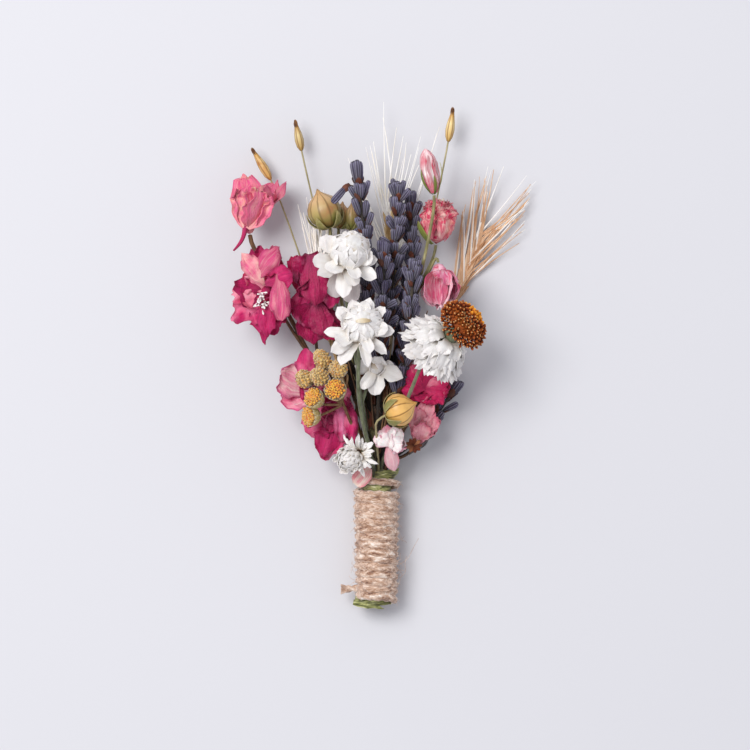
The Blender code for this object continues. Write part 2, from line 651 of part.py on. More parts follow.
def boll_pieces(base, tip, radius, sides=8, sepals=3):
    """A flax boll: a ribbed ball with a small point and a few dry sepals at its foot."""
    base = Vector(base)
    tip = Vector(tip)
    profile = [(0, 0), (0.12, radius * 0.66), (0.42, radius), (0.72, radius * 0.74), (0.88, radius * 0.22),
               (1, 0)]
    pieces = [turned(base, tip, profile, sides, ribs=0.05)]
    along = (tip - base).normalized()
    side = along.cross(Vector((0.1, 0, 1))).normalized()
    other = along.cross(side)
    for place in range(sepals):
        angle = 2 * math.pi * (place + 0.25) / sepals
        away = side * math.cos(angle) + other * math.sin(angle)
        root = base + along * 0.3 - away * 0.2
        sepal_tip = base + along * radius * 0.72 + away * radius * 0.98
        pieces.append(blade(root, sepal_tip, away, radius * 0.5, sag=0.3, claw=0.8, rows=2, cols=1))
    return pieces


def capsule(name, base, tip, slot):
    """A slender gold seed capsule on its own fine stem."""
    base = Vector(base)
    tip = Vector(tip)
    along = (tip - base).normalized()
    points = stem_route(slot, base - along * 3, steps=3)
    points.append(base + along * 1.0)
    stem = rod(points, [STEM_RADIUS] * 3 + [0.36] * (len(points) - 3), 1)
    pod = turned(base, tip, [(0, 0), (0.12, 0.9), (0.4, 1.3), (0.7, 1.0), (0.88, 0.5), (1, 0)],
                 sides=6, ribs=0.12)
    return node(name, [stem, pod], material("seed capsule", GOLD), base)


def button(name, base, top, radius, is_open):
    """A yellow button: a woolly cup, closed at the top or open with a raised floret face."""
    if is_open:
        profile = [(0, 0), (0.1, radius * 0.6), (0.55, radius * 0.86), (0.85, radius * 1.08), (1, 0)]
        made = turned(base, top, profile, sides=8, bumps=0.25)
        return node(name, [made], material("yellow florets", YELLOW), base)
    profile = [(0, 0), (0.12, radius * 0.6), (0.45, radius), (0.8, radius * 0.85), (1, 0)]
    made = turned(base, top, profile, sides=8, ribs=0.08)
    return node(name, [made], material("woolly cup", GOLD), base)


def jute_twine():
    """The wound twine: a helix with flats where it lies on the surface, and a short cut tail."""
    points = []
    steps = round(TWINE_TURNS * TWINE_STEPS)
    for step in range(steps + 1):
        angle = math.pi + 2 * math.pi * (step + 0.5) / TWINE_STEPS
        points.append((TWINE_COIL_RADIUS * math.cos(angle),
                       TWINE_START_Y + TWINE_PITCH * step / TWINE_STEPS,
                       TIE_HEIGHT + TWINE_COIL_RADIUS * math.sin(angle)))
    coil = rod(points, [TWINE_RADIUS] * len(points), 1)
    tail = rod([TAIL_FROM, TAIL_TO], [TWINE_RADIUS * 0.8, TWINE_RADIUS], 1)
    return node("jute_twine", [coil, tail], material("jute", JUTE, 0.95), (0, TWINE_START_Y, TIE_HEIGHT))


def florist_tape():
    """The tape sleeve round the cut stems, slanted and torn at its lower edge."""
    bm = bmesh.new()
    rings = []
    for radius, top in ((TAPE_INNER, False), (TAPE_OUTER, False), (TAPE_OUTER, True), (TAPE_INNER, True)):
        ring = []
        for step in range(TAPE_SIDES):
            angle = 2 * math.pi * step / TAPE_SIDES
            y = TAPE_TOP + 0.25 * math.sin(3 * angle) if top else 0.55 - 0.55 * math.cos(angle - math.pi / 2)
            ring.append(bm.verts.new((radius * math.cos(angle), y, TIE_HEIGHT + radius * math.sin(angle))))
        rings.append(ring)
    for ring, following in zip(rings, rings[1:] + rings[:1]):
        for step in range(TAPE_SIDES):
            after = (step + 1) % TAPE_SIDES
            bm.faces.new((ring[step], ring[after], following[after], following[step]))
    return node("florist_tape", [solid(bm)], material("florist tape", GREEN_TAPE), (0, 0, TIE_HEIGHT))


def along_route(points, y):
    """The point of a stem's route at height y."""
    for first, second in zip(points, points[1:]):
        if first.y <= y <= second.y:
            return first.lerp(second, (y - first.y) / (second.y - first.y))
    return points[-1]


def larkspur_stalk(name, slot, end_bloom, side_blooms, leave_at, radius=0.6, below=NECK):
    """A larkspur stalk to its end bloom, with a side branch that leaves it for each other bloom."""
    base = end_bloom["base"]
    facing = end_bloom["facing"]
    points = stem_route(slot, neck(base, facing, below))
    points.append(seat(base, facing))
    radii = [STEM_RADIUS] * 3 + [radius] * (len(points) - 4) + [0.5]
    pieces = [rod(points, radii)]
    for bloom, height in zip(side_blooms, leave_at):
        pieces.append(branch(along_route(points, height), bloom["base"], bloom["facing"]))
    return node(name, pieces, material("dry stem", BROWN), (slot[0], STEM_END_Y, slot[1]))


def larkspurs(slots):
    """The four larkspur stalks with their blooms, and the petal that lies on the twine."""
    pink = material("larkspur petal", PINK)
    pale = material("pale petal", PALE_PINK)
    tendril = blade(*TENDRIL, (0.4, 0, 1), 1.6, sag=0.8, claw=0.8, point=0.5, rows=3, cols=1)
    larkspur_bloom("larkspur_bloom_top_left", TOP_LEFT_BLOOM, pink, 100, [tendril])
    larkspur_bloom("larkspur_bloom_left", LEFT_BLOOM, pink, 120, [spike(*SPUR, 1.1, 0.7)])
    larkspur_bloom("larkspur_bloom_middle_left", MIDDLE_LEFT_BLOOM, pink, 140)
    larkspur_bloom("larkspur_bloom_low_left", LOW_LEFT_BLOOM, pale, 160)
    larkspur_bloom("larkspur_bloom_low", LOW_BLOOM, pink, 180)
    larkspur_bloom("larkspur_bloom_right", RIGHT_BLOOM, pink, 200)
    larkspur_bloom("larkspur_bloom_low_right", LOW_RIGHT_BLOOM, pale, 220)
    larkspur_bloom("larkspur_bloom_front", FRONT_BLOOM, pale, 240)
    loose = blade(*LOOSE_PETAL, (-0.4, -0.3, 1), 4.6, sag=-0.4, claw=0.5, point=0.3, rows=3)
    node("larkspur_petal_loose", [loose], pale, LOOSE_PETAL[0])
    larkspur_stalk("larkspur_stem_left", slots["larkspur_left"], TOP_LEFT_BLOOM,
                   [LEFT_BLOOM, MIDDLE_LEFT_BLOOM, LOW_BLOOM], LEFT_BRANCHES_Y)
    larkspur_stalk("larkspur_stem_low", slots["larkspur_low"], LOW_LEFT_BLOOM, [], [])
    larkspur_stalk("larkspur_stem_right", slots["larkspur_right"], RIGHT_BLOOM, [LOW_RIGHT_BLOOM],
                   [RIGHT_BRANCH_Y])
    larkspur_stalk("larkspur_stem_front", slots["larkspur_front"], FRONT_BLOOM, [], [], STEM_RADIUS,
                   SHORT_NECK)


def everlastings(slots):
    """Four everlasting heads on three stems, and the paper daisy on its own."""
    white = material("papery bracts", WHITE)
    green_stem = material("green stem", GREEN)
    origin = (0, STEM_END_Y, TIE_HEIGHT)
    everlasting("everlasting_upper", UPPER_EVERLASTING, white, 11)
    everlasting("everlasting_middle", MIDDLE_EVERLASTING, white, 12)
    everlasting("everlasting_back", BACK_EVERLASTING, white, 13)
    everlasting("everlasting_small", SMALL_EVERLASTING, white, 14)

    back = stem_with_seat(slots["everlasting_back"], cup_back(UPPER_EVERLASTING), UPPER_EVERLASTING["facing"],
                          tip_radius=STEM_RADIUS)
    node("everlasting_stem_back", [back], green_stem, origin)
    base = cup_back(MIDDLE_EVERLASTING)
    route = stem_route(slots["everlasting_front"], neck(base, MIDDLE_EVERLASTING["facing"]), FRONT_STEM_BOW)
    route.append(seat(base, MIDDLE_EVERLASTING["facing"]))
    front = rod(route, [STEM_RADIUS] * len(route))
    side_branch = branch(along_route(route, EVERLASTING_BRANCH_Y), cup_back(BACK_EVERLASTING),
                         BACK_EVERLASTING["facing"], below=1.5)
    node("everlasting_stem_front", [front, side_branch], green_stem, origin)
    small = stem_with_seat(slots["everlasting_small"], cup_back(SMALL_EVERLASTING),
                           SMALL_EVERLASTING["facing"], below=SHORT_NECK)
    node("everlasting_stem_small", [small], green_stem, origin)

    daisy_back, daisy_facing = daisy()
    node("daisy_stem", [stem_with_seat(slots["daisy"], daisy_back, daisy_facing)], green_stem, origin)


def flax(slots):
    """The spray of three flax bolls at the top left, and the large boll in front on its own stem."""
    boll = material("flax boll", GOLD)
    first_base = Vector(SPRAY_BOLLS[0][0])
    route = stem_route(slots["flax_spray"], first_base - Vector((0, 2, 0.4)))
    route.append(first_base + Vector((0, 0.8, 0)))
    spray = [rod(route, [STEM_RADIUS] * len(route))]
    for base, tip, radius in SPRAY_BOLLS:
        large = radius > LARGE_BOLL
        spray += boll_pieces(base, tip, radius, 8 if large else 6, 3 if large else 0)
    start = along_route(route, FLAX_BRANCH_Y)
    for base, tip, radius in SPRAY_BOLLS[1:]:
        foot = Vector(base)
        spray.append(rod([start, foot - Vector((0, 3, 0)), foot + Vector((0, 1, 0))], [0.4] * 3))
    node("flax_spray", spray, boll, first_base)

    base = Vector(FRONT_BOLL[0])
    along = (Vector(FRONT_BOLL[1]) - base).normalized()
    route = stem_route(slots["flax_front"], base - along * 3 - Vector((0, 0, 1)), steps=3)
    route.append(base + along)
    node("flax_front", [rod(route, [STEM_RADIUS] * len(route))] + boll_pieces(*FRONT_BOLL), boll, base)


def button_cluster(slots):
    """Seven yellow buttons on stems that part from one hub."""
    hub = Vector(BUTTON_HUB)
    route = stem_route(slots["buttons"], hub)
    stems = [rod(route, [STEM_RADIUS] * len(route))]
    for place, (base, top, radius, is_open) in enumerate(BUTTONS):
        along = (Vector(top) - Vector(base)).normalized()
        start = hub - Vector((0, 0.2 * place, 0))
        stems.append(rod([start, Vector(base) - along * 1.6, Vector(base) - along * SEAT_GAP], [0.36] * 3))
        button(f"button_{place + 1}", base, top, radius, is_open)
    node("button_stem", stems, material("dry stem", BROWN), hub)


def spray_rose(slots):
    """A spray rose: a closed bud, a dried ball of ruffled petals and a hanging bloom on one stem."""
    pale = material("pale petal", PALE_PINK)
    bud_base, bud_tip = (Vector(end) for end in ROSE_BUD)
    bud_along = (bud_tip - bud_base).normalized()
    route = stem_route(slots["rose"], bud_base - bud_along * 3)
    route.append(bud_base - bud_along * SEAT_GAP)
    ball_base, ball_tip = (Vector(end) for end in ROSE_BALL)
    ball_along = (ball_tip - ball_base).normalized()
    stem = [rod(route, [STEM_RADIUS] * len(route))]
    for height, base, facing in ((ROSE_BALL_BRANCH_Y, ball_base, ball_along),
                                 (ROSE_BLOOM_BRANCH_Y, ROSE_BLOOM["base"], ROSE_BLOOM["facing"])):
        stem.append(branch(along_route(route, height), base, facing, radius=0.4))
    node("rose_stem", stem, material("green stem", GREEN), (0, STEM_END_Y, TIE_HEIGHT))
    larkspur_bloom("rose_bloom", ROSE_BLOOM, pale, 260)
    bud = turned(bud_base, bud_tip, [(0, 0), (0.12, 1.6), (0.35, 3.0), (0.65, 2.6), (0.88, 1.4), (1, 0)],
                 sides=8, ribs=0.08)
    node("rose_bud", [bud], pale, bud_base)
    ball = [turned(ball_base, ball_tip, [(0, 0), (0.14, 2.6), (0.4, 4.4), (0.7, 4.2), (0.9, 2.4), (1, 0)],
                   sides=6)]
    side = ball_along.cross(Vector((0, 0, 1))).normalized()
    other = side.cross(ball_along)
    for place in range(ROSE_BALL_PETALS):
        angle = 2 * math.pi * place / ROSE_BALL_PETALS
        away = side * math.cos(angle) + other * math.sin(angle)
        root = ball_base + ball_along * 1.6 + away * 2.0
        tip = ball_base + ball_along * (12.6 - place % 2) + away * 3.6
        ball.append(blade(root, tip, -away, 4.8, sag=1.6, wave=0.4, claw=0.4, point=0.5, rows=2,
                          seed=400 + place))
    node("rose_ball", ball, pale, ball_base)


def put_on_origin():
    """Moves everything so that the middle of the bouquet's box, at its lowest point, is the origin."""
    bpy.context.view_layer.update()
    corners = [made.matrix_world @ vertex.co for made in bpy.data.objects for vertex in made.data.vertices]
    low = [min(corner[axis] for corner in corners) for axis in range(3)]
    high = [max(corner[axis] for corner in corners) for axis in range(3)]
    shift = Vector((-(low[0] + high[0]) / 2, -(low[1] + high[1]) / 2, -low[2]))
    for made in bpy.data.objects:
        made.location += shift


def main():
    for old in list(bpy.data.objects):
        bpy.data.objects.remove(old)

    ends = {"larkspur_left": TOP_LEFT_BLOOM["base"], "larkspur_low": LOW_LEFT_BLOOM["base"],
            "larkspur_right": RIGHT_BLOOM["base"], "larkspur_front": FRONT_BLOOM["base"],
            "everlasting_back": cup_back(UPPER_EVERLASTING),
            "everlasting_front": cup_back(MIDDLE_EVERLASTING),
            "everlasting_small": cup_back(SMALL_EVERLASTING), "daisy": DAISY_MIDDLE, "rose": ROSE_BUD[0],
            "flax_spray": SPRAY_BOLLS[0][0], "flax_front": FRONT_BOLL[0], "buttons": BUTTON_HUB}
    ends.update({name: one["low"] for name, one in LAVENDER_SPIKES.items()})
    ends.update({name: one["foot"] for name, one in WHEAT_EARS.items()})
    ends.update({name: base for name, (base, tip) in CAPSULES.items()})
    slots = assign_slots({name: tuple(end) for name, end in ends.items()})

    jute_twine()
    florist_tape()
    larkspurs(slots)
    everlastings(slots)
    for place, (name, one) in enumerate(LAVENDER_SPIKES.items()):
        lavender(name, one, slots[name], 300 + place)
    for name, ear in WHEAT_EARS.items():
        wheat(name, ear, slots[name])
    for name, (base, tip) in CAPSULES.items():
        capsule(name, base, tip, slots[name])
    flax(slots)
    button_cluster(slots)
    spray_rose(slots)
    put_on_origin()


main()
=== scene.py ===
import json
import math
import random

import bmesh
import bpy
import numpy as np
from mathutils import Matrix, Vector

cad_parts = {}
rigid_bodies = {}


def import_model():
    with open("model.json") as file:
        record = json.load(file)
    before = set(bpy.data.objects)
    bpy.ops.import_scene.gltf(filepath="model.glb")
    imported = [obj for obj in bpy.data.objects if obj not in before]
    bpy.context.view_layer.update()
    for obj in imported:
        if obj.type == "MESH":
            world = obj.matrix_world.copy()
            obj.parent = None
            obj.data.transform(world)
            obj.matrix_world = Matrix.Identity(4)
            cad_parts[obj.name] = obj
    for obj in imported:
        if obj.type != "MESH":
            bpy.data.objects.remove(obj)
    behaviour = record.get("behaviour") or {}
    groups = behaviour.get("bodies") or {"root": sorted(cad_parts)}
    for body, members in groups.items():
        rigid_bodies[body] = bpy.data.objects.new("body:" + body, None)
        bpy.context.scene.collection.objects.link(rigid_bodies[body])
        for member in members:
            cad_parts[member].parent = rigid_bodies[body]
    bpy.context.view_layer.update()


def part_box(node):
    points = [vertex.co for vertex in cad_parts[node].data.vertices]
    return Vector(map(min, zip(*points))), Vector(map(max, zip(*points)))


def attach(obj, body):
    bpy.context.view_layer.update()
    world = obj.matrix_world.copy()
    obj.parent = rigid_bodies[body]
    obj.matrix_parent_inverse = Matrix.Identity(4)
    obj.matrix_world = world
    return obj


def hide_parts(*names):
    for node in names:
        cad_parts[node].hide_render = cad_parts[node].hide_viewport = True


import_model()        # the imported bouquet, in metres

# The layout is in millimetres: X right, Y from the cut stems to the flowers, Z up from the table.
# A finished piece is scaled to metres and moved to where the frame has the tie.
mm = 0.001
stemFootY = 1.2          # where the cut stems end
tapeLow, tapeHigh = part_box("florist_tape")
layoutOrigin = Vector(((tapeLow.x + tapeHigh.x) / 2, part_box("daisy_stem")[0].y - stemFootY * mm, 0))
tieHeight = (tapeLow.z + tapeHigh.z) / 2 / mm
highestTip = 36.2


# Small helpers

def deselect():
    bpy.ops.object.select_all(action="DESELECT")


def only(piece):
    deselect()
    piece.select_set(True)
    bpy.context.view_layer.objects.active = piece


def linear(code):        # sRGB hex to the linear colour that a shader wants
    parts = [int(code[place:place + 2], 16) / 255 for place in (0, 2, 4)]
    return [part / 12.92 if part <= 0.04045 else ((part + 0.055) / 1.055) ** 2.4 for part in parts] + [1]


def perMm(size):         # noise scale for a pattern that repeats about every size mm
    return 1 / (size * mm)


def pointsOf(piece):
    flat = np.empty(len(piece.data.vertices) * 3)
    piece.data.vertices.foreach_get("co", flat)
    return flat.reshape(-1, 3)


def movePoints(piece, points):
    piece.data.vertices.foreach_set("co", np.ascontiguousarray(points, dtype=float).ravel())
    piece.data.update()


def setTone(piece, value):    # one number from 0 to 1 that the materials read
    tone = piece.data.attributes.get("tone") or piece.data.attributes.new("tone", "FLOAT", "POINT")
    tone.data.foreach_set("value", np.full(len(piece.data.vertices), value, np.float32))


def wave(points, size, draw):     # a smooth random height, about -1 to 1, over lumps of one size
    height = np.zeros(len(points))
    for turn in range(6):
        way = np.array([draw.gauss(0, 1) for axis in range(3)])
        way *= 2 * math.pi / size / np.linalg.norm(way)
        height += np.sin(points @ way + draw.uniform(0, 2 * math.pi))
    return height / 3


def roughen(piece, amount, size, seed):      # pushes the surface in and out a little
    flat = np.empty(len(piece.data.vertices) * 3)
    piece.data.vertices.foreach_get("normal", flat)
    points = pointsOf(piece)
    heights = wave(points, size, random.Random(seed)) * amount
    movePoints(piece, points + flat.reshape(-1, 3) * heights[:, None])


def axesBetween(root, tip, up):      # X from root to tip, Z as near to up as it can be
    along = (Vector(tip) - Vector(root)).normalized()
    across = Vector(up).cross(along)
    if across.length < 1e-4:
        across = Vector((0, 1, 0)).cross(along)
    across.normalize()
    turned = Matrix((along, across, along.cross(across))).transposed().to_4x4()
    return Matrix.Translation(root) @ turned


def copyOf(blank):
    made = blank.copy()
    made.data = blank.data.copy()
    bpy.context.scene.collection.objects.link(made)
    return made


def applied(piece, kind, **settings):
    only(piece)
    modifier = piece.modifiers.new(kind.lower(), kind)
    for name, value in settings.items():
        setattr(modifier, name, value)
    bpy.ops.object.modifier_apply(modifier=modifier.name)


def joined(pieces):
    only(pieces[0])
    for piece in pieces:
        piece.select_set(True)
    if len(pieces) > 1:
        bpy.ops.object.join()
    return pieces[0]


def painted(piece, finish):
    piece.data.materials.clear()
    piece.data.materials.append(finish)
    return piece


def finished(name, pieces, slot, *nodes):    # one piece in metres, in the frame, in place of CAD nodes
    piece = joined(pieces)
    piece.name = name
    piece.data.name = name
    points = pointsOf(piece)
    points[:, 2] = np.maximum(points[:, 2], 0)       # what would dip below the table lies on it
    points[:, 2] -= 0.45 * np.maximum(points[:, 2] - highestTip, 0)      # the tallest tips bend over
    movePoints(piece, points)
    piece.data.transform(Matrix.Scale(mm, 4))
    piece.data.transform(Matrix.Translation(layoutOrigin))
    only(piece)
    bpy.ops.object.shade_smooth_by_angle(angle=math.radians(50))
    if nodes:
        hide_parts(*nodes)
    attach(piece, "root")
    return piece


# Blanks, each modelled once and then copied

def pickVertices(piece, wanted):       # in edit mode, selects the vertices with these numbers
    mesh = bmesh.from_edit_mesh(piece.data)
    mesh.verts.ensure_lookup_table()
    for vertex in mesh.verts:
        vertex.select = vertex.index in wanted
    mesh.select_flush_mode()
    bmesh.update_edit_mesh(piece.data)


def flatBlank(name, rows, columns, outline):     # a blade 1 long and 1 wide, its rows drawn in to an outline
    deselect()
    bpy.ops.mesh.primitive_grid_add(x_subdivisions=rows, y_subdivisions=columns, size=1)
    blank = bpy.context.object
    blank.name = name
    places = [round((vertex.co.x + 0.5) * rows) for vertex in blank.data.vertices]
    bpy.ops.object.mode_set(mode="EDIT")
    bpy.ops.transform.translate(value=(0.5, 0, 0))
    shares, widths = zip(*outline)
    for row in range(rows + 1):
        pickVertices(blank, {number for number, place in enumerate(places) if place == row})
        width = float(np.interp(row / rows, shares, widths))
        bpy.ops.transform.resize(value=(1, width, 1), center_override=(row / rows, 0, 0))
    bpy.ops.object.mode_set(mode="OBJECT")
    return blank


def turnedBlank(name, sides, profile, ribs=0, ribDepth=0.0):   # a body 1 long whose rings follow a profile
    deselect()
    rings = len(profile) - 1
    bpy.ops.mesh.primitive_uv_sphere_add(segments=sides, ring_count=rings, radius=1)
    blank = bpy.context.object
    blank.name = name
    heights = [max(-1, min(1, vertex.co.z)) for vertex in blank.data.vertices]
    levels = [round((1 - math.acos(height) / math.pi) * rings) for height in heights]
    bpy.ops.object.mode_set(mode="EDIT")
    for level, (share, radius) in enumerate(profile):
        wanted = {number for number, place in enumerate(levels) if place == level}
        pickVertices(blank, wanted)
        angle = math.pi * (1 - level / rings)
        wide = math.sin(angle) if 0 < level < rings else 1
        bpy.ops.transform.resize(value=(radius / wide, radius / wide, 1), center_override=(0, 0, 0))
        bpy.ops.transform.translate(value=(0, 0, share - math.cos(angle)))
    bpy.ops.mesh.select_all(action="SELECT")
    bpy.ops.mesh.normals_make_consistent(inside=False)
    bpy.ops.object.mode_set(mode="OBJECT")
    blank.data.transform(Matrix.Rotation(math.pi / 2, 4, "Y"))
    if ribs:
        points = pointsOf(blank)
        angles = np.arctan2(points[:, 2], points[:, 1])
        points[:, 1:] *= (1 + ribDepth * np.cos(ribs * angles))[:, None]
        movePoints(blank, points)
    return blank


def lay(blank, root, tip, wide, up=(0, 0, 1), tone=0.5):   # a copy of a turned blank from root to tip
    made = copyOf(blank)
    length = (Vector(tip) - Vector(root)).length
    made.data.transform(Matrix.Diagonal((length, wide, wide, 1)))
    made.data.transform(axesBetween(root, tip, up))
    setTone(made, tone)
    return made


def layPetal(blank, root, tip, up, width, bow=0.0, cup=0.0, ruffle=0.0, waves=3, curl=0.0, twist=0.0,
             crumple=0.0, ragged=0.0, pleat=0.0, tone=None, seed=0):
    # bow arches it, cup lifts its edges, curl turns up its tip, ruffle waves its rim, ragged cuts its end,
    # pleat folds it lengthways
    draw = random.Random(seed)
    made = copyOf(blank)
    points = pointsOf(made)
    length = (Vector(tip) - Vector(root)).length
    along = points[:, 0].copy()
    side = points[:, 1] * 2
    lift = 4 * bow * along * (1 - along) + curl * along ** 3
    lift += cup * side ** 2 * np.sin(math.pi * np.minimum(along, 0.85))
    phases = np.where(side > 0, draw.uniform(0, 6.28), draw.uniform(0, 6.28))
    rim = np.abs(side) ** 1.5 * along + 0.5 * along ** 4
    lift += ruffle * rim * np.sin(2 * math.pi * waves * along + phases + 2 * side)
    lift += pleat * along * np.abs(np.sin(side * draw.uniform(2.4, 3.4) + draw.uniform(0, 3.1)))
    frays = np.sin(side * draw.uniform(5, 7) + draw.uniform(0, 6.28)) + np.sin(side * 13 + draw.uniform(0, 6.28))
    reach = 1 - ragged * (0.5 + 0.25 * frays)
    width *= 1 + 0.5 * ragged * np.sin(along * 17 + phases)
    angle = twist * along
    flat = side * width / 2
    points = np.stack([along * length * reach, flat * np.cos(angle) - lift * np.sin(angle),
                       lift * np.cos(angle) + flat * np.sin(angle)], axis=1)
    if crumple:
        points[:, 2] += crumple * along * wave(points, 3.8, draw)
        points[:, 1] += 0.6 * crumple * along * wave(points, 4.6, draw)
    movePoints(made, points)
    made.data.transform(axesBetween(root, tip, up))
    setTone(made, draw.random() if tone is None else tone)
    return made


def tube(routes, sides=8, smooth=True):      # stems, strands or awns, each a route and its radii
    data = bpy.data.curves.new("route", "CURVE")
    data.dimensions = "3D"
    data.bevel_depth = 1
    data.bevel_resolution = sides // 2 - 2
    data.use_fill_caps = True
    data.resolution_u = 3
    for points, radii in routes:
        spline = data.splines.new("NURBS" if smooth else "POLY")
        spline.points.add(len(points) - 1)
        for place, (point, radius) in enumerate(zip(points, radii)):
            spline.points[place].co = (*point, 1)
            spline.points[place].radius = radius
        spline.order_u = 3
        spline.use_endpoint_u = True
    made = bpy.data.objects.new("route", data)
    bpy.context.scene.collection.objects.link(made)
    only(made)
    bpy.ops.object.convert(target="MESH")
    setTone(made, 0.5)
    return made


# Materials

def addNode(tree, kind, settings, links):       # one node, its settings and its links
    made = tree.nodes.new(kind)
    for name, value in settings.items():
        if name == "stops":
            while len(made.color_ramp.elements) < len(value):
                made.color_ramp.elements.new(1)
            for element, (place, code) in zip(made.color_ramp.elements, value):
                element.position = place
                element.color = linear(code)
        elif isinstance(name, int) or name in made.inputs:
            made.inputs[name].default_value = value
        else:
            setattr(made, name, value)
    for name, (source, output) in links.items():
        tree.links.new(source.outputs[output], made.inputs[name])
    return made


def startMaterial(name, sockets):        # what is the same all over is set on the shader itself
    made = bpy.data.materials.new(name)
    made.use_nodes = True
    shader = made.node_tree.nodes["Principled BSDF"]
    for socket, value in sockets.items():
        shader.inputs[socket].default_value = value
    return made, made.node_tree, shader


def petalMaterial(look):
    # a dried petal: thin wrinkled skin with fine veins, darker along its rim, bleached in patches
    made, tree, shader = startMaterial(look["name"], {"Roughness": look["roughness"], "IOR": 1.45,
                                                      "Sheen Weight": look["sheen"], "Sheen Roughness": 0.5,
                                                      "Specular IOR Level": 0.3,
                                                      "Subsurface Weight": 0.2, "Subsurface Scale": 0.6 * mm})
    shader.inputs["Subsurface Radius"].default_value = (1.0, 0.5, 0.6)
    spots = addNode(tree, "ShaderNodeTexCoord", {}, {})
    split = addNode(tree, "ShaderNodeSeparateXYZ", {}, {0: (spots, "UV")})
    tone = addNode(tree, "ShaderNodeAttribute", {"attribute_name": "tone"}, {})
    lengthways = addNode(tree, "ShaderNodeValToRGB", {"stops": look["along"]}, {0: (split, "X")})
    veinSpace = addNode(tree, "ShaderNodeMapping", {"Scale": look["veinScale"]}, {0: (spots, "UV")})
    veins = addNode(tree, "ShaderNodeTexNoise", {"Scale": 1.0, "Detail": 3, "Distortion": 0.4},
                    {"Vector": (veinSpace, 0)})
    veinRamp = addNode(tree, "ShaderNodeMapRange", {"From Min": 0.4, "From Max": 0.62, "To Max": look["veins"]},
                       {"Value": (veins, "Fac")})
    veined = addNode(tree, "ShaderNodeMix", {"data_type": "RGBA", 7: linear(look["vein"])},
                     {0: (veinRamp, 0), 6: (lengthways, 0)})
    blotches = addNode(tree, "ShaderNodeTexNoise", {"Scale": perMm(4), "Detail": 2},
                       {"Vector": (spots, "Object")})
    both = addNode(tree, "ShaderNodeMath", {"operation": "MULTIPLY_ADD", 1: 0.7},
                   {0: (tone, "Fac"), 2: (blotches, "Fac")})
    patchShare = addNode(tree, "ShaderNodeMapRange", {"From Min": look["patchFrom"],
                                                      "From Max": look["patchFrom"] + 0.3},
                         {"Value": (both, 0)})
    patched = addNode(tree, "ShaderNodeMix", {"data_type": "RGBA", 7: linear(look["patch"])},
                      {0: (patchShare, 0), 6: (veined, 2)})
    across = addNode(tree, "ShaderNodeMath", {"operation": "SUBTRACT", 1: 0.5}, {0: (split, "Y")})
    fromMiddle = addNode(tree, "ShaderNodeMath", {"operation": "ABSOLUTE"}, {0: (across, 0)})
    rim = addNode(tree, "ShaderNodeMapRange", {"From Min": 0.36, "From Max": 0.5, "To Max": look["rim"]},
                  {"Value": (fromMiddle, 0)})
    edged = addNode(tree, "ShaderNodeMix", {"data_type": "RGBA", 7: linear(look["edge"])},
                    {0: (rim, 0), 6: (patched, 2)})
    shade = addNode(tree, "ShaderNodeMapRange", {"To Min": 0.8, "To Max": 1.15}, {"Value": (tone, "Fac")})
    shaded = addNode(tree, "ShaderNodeHueSaturation", {}, {"Value": (shade, 0), "Color": (edged, 2)})
    tree.links.new(shaded.outputs[0], shader.inputs["Base Color"])
    wrinkles = addNode(tree, "ShaderNodeTexNoise", {"Scale": perMm(0.7), "Detail": 3},
                       {"Vector": (spots, "Object")})
    relief = addNode(tree, "ShaderNodeMath", {"operation": "ADD"}, {0: (wrinkles, "Fac"), 1: (veins, "Fac")})
    bump = addNode(tree, "ShaderNodeBump", {"Strength": look["bump"], "Distance": 0.3 * mm},
                   {"Height": (relief, 0)})
    tree.links.new(bump.outputs[0], shader.inputs["Normal"])
    return made


def stemMaterial(look):
    # dry bark or skin with grooves along the stem; Y runs up the bunch
    made, tree, shader = startMaterial(look["name"], {"Roughness": look["roughness"], "IOR": 1.5,
                                                      "Sheen Weight": look["sheen"]})
    spots = addNode(tree, "ShaderNodeTexCoord", {}, {})
    grain = addNode(tree, "ShaderNodeMapping", {"Scale": (1, 0.12, 1)}, {0: (spots, "Object")})
    streaks = addNode(tree, "ShaderNodeTexNoise", {"Scale": perMm(0.5), "Detail": 4}, {"Vector": (grain, 0)})
    lumps = addNode(tree, "ShaderNodeTexNoise", {"Scale": perMm(6), "Detail": 2}, {"Vector": (spots, "Object")})
    tone = addNode(tree, "ShaderNodeAttribute", {"attribute_name": "tone"}, {})
    grained = addNode(tree, "ShaderNodeMath", {"operation": "MULTIPLY_ADD", 1: 0.6},
                      {0: (streaks, "Fac"), 2: (lumps, "Fac")})
    toned = addNode(tree, "ShaderNodeMath", {"operation": "MULTIPLY_ADD", 1: 0.4}, {0: (tone, "Fac"), 2: (grained, 0)})
    share = addNode(tree, "ShaderNodeMapRange", {"From Min": 0.75, "From Max": 1.35}, {"Value": (toned, 0)})
    colours = addNode(tree, "ShaderNodeValToRGB", {"stops": look["stops"]}, {0: (share, 0)})
    tree.links.new(colours.outputs[0], shader.inputs["Base Color"])
    bump = addNode(tree, "ShaderNodeBump", {"Strength": look["bump"], "Distance": 0.15 * mm},
                   {"Height": (streaks, "Fac")})
    tree.links.new(bump.outputs[0], shader.inputs["Normal"])
    return made


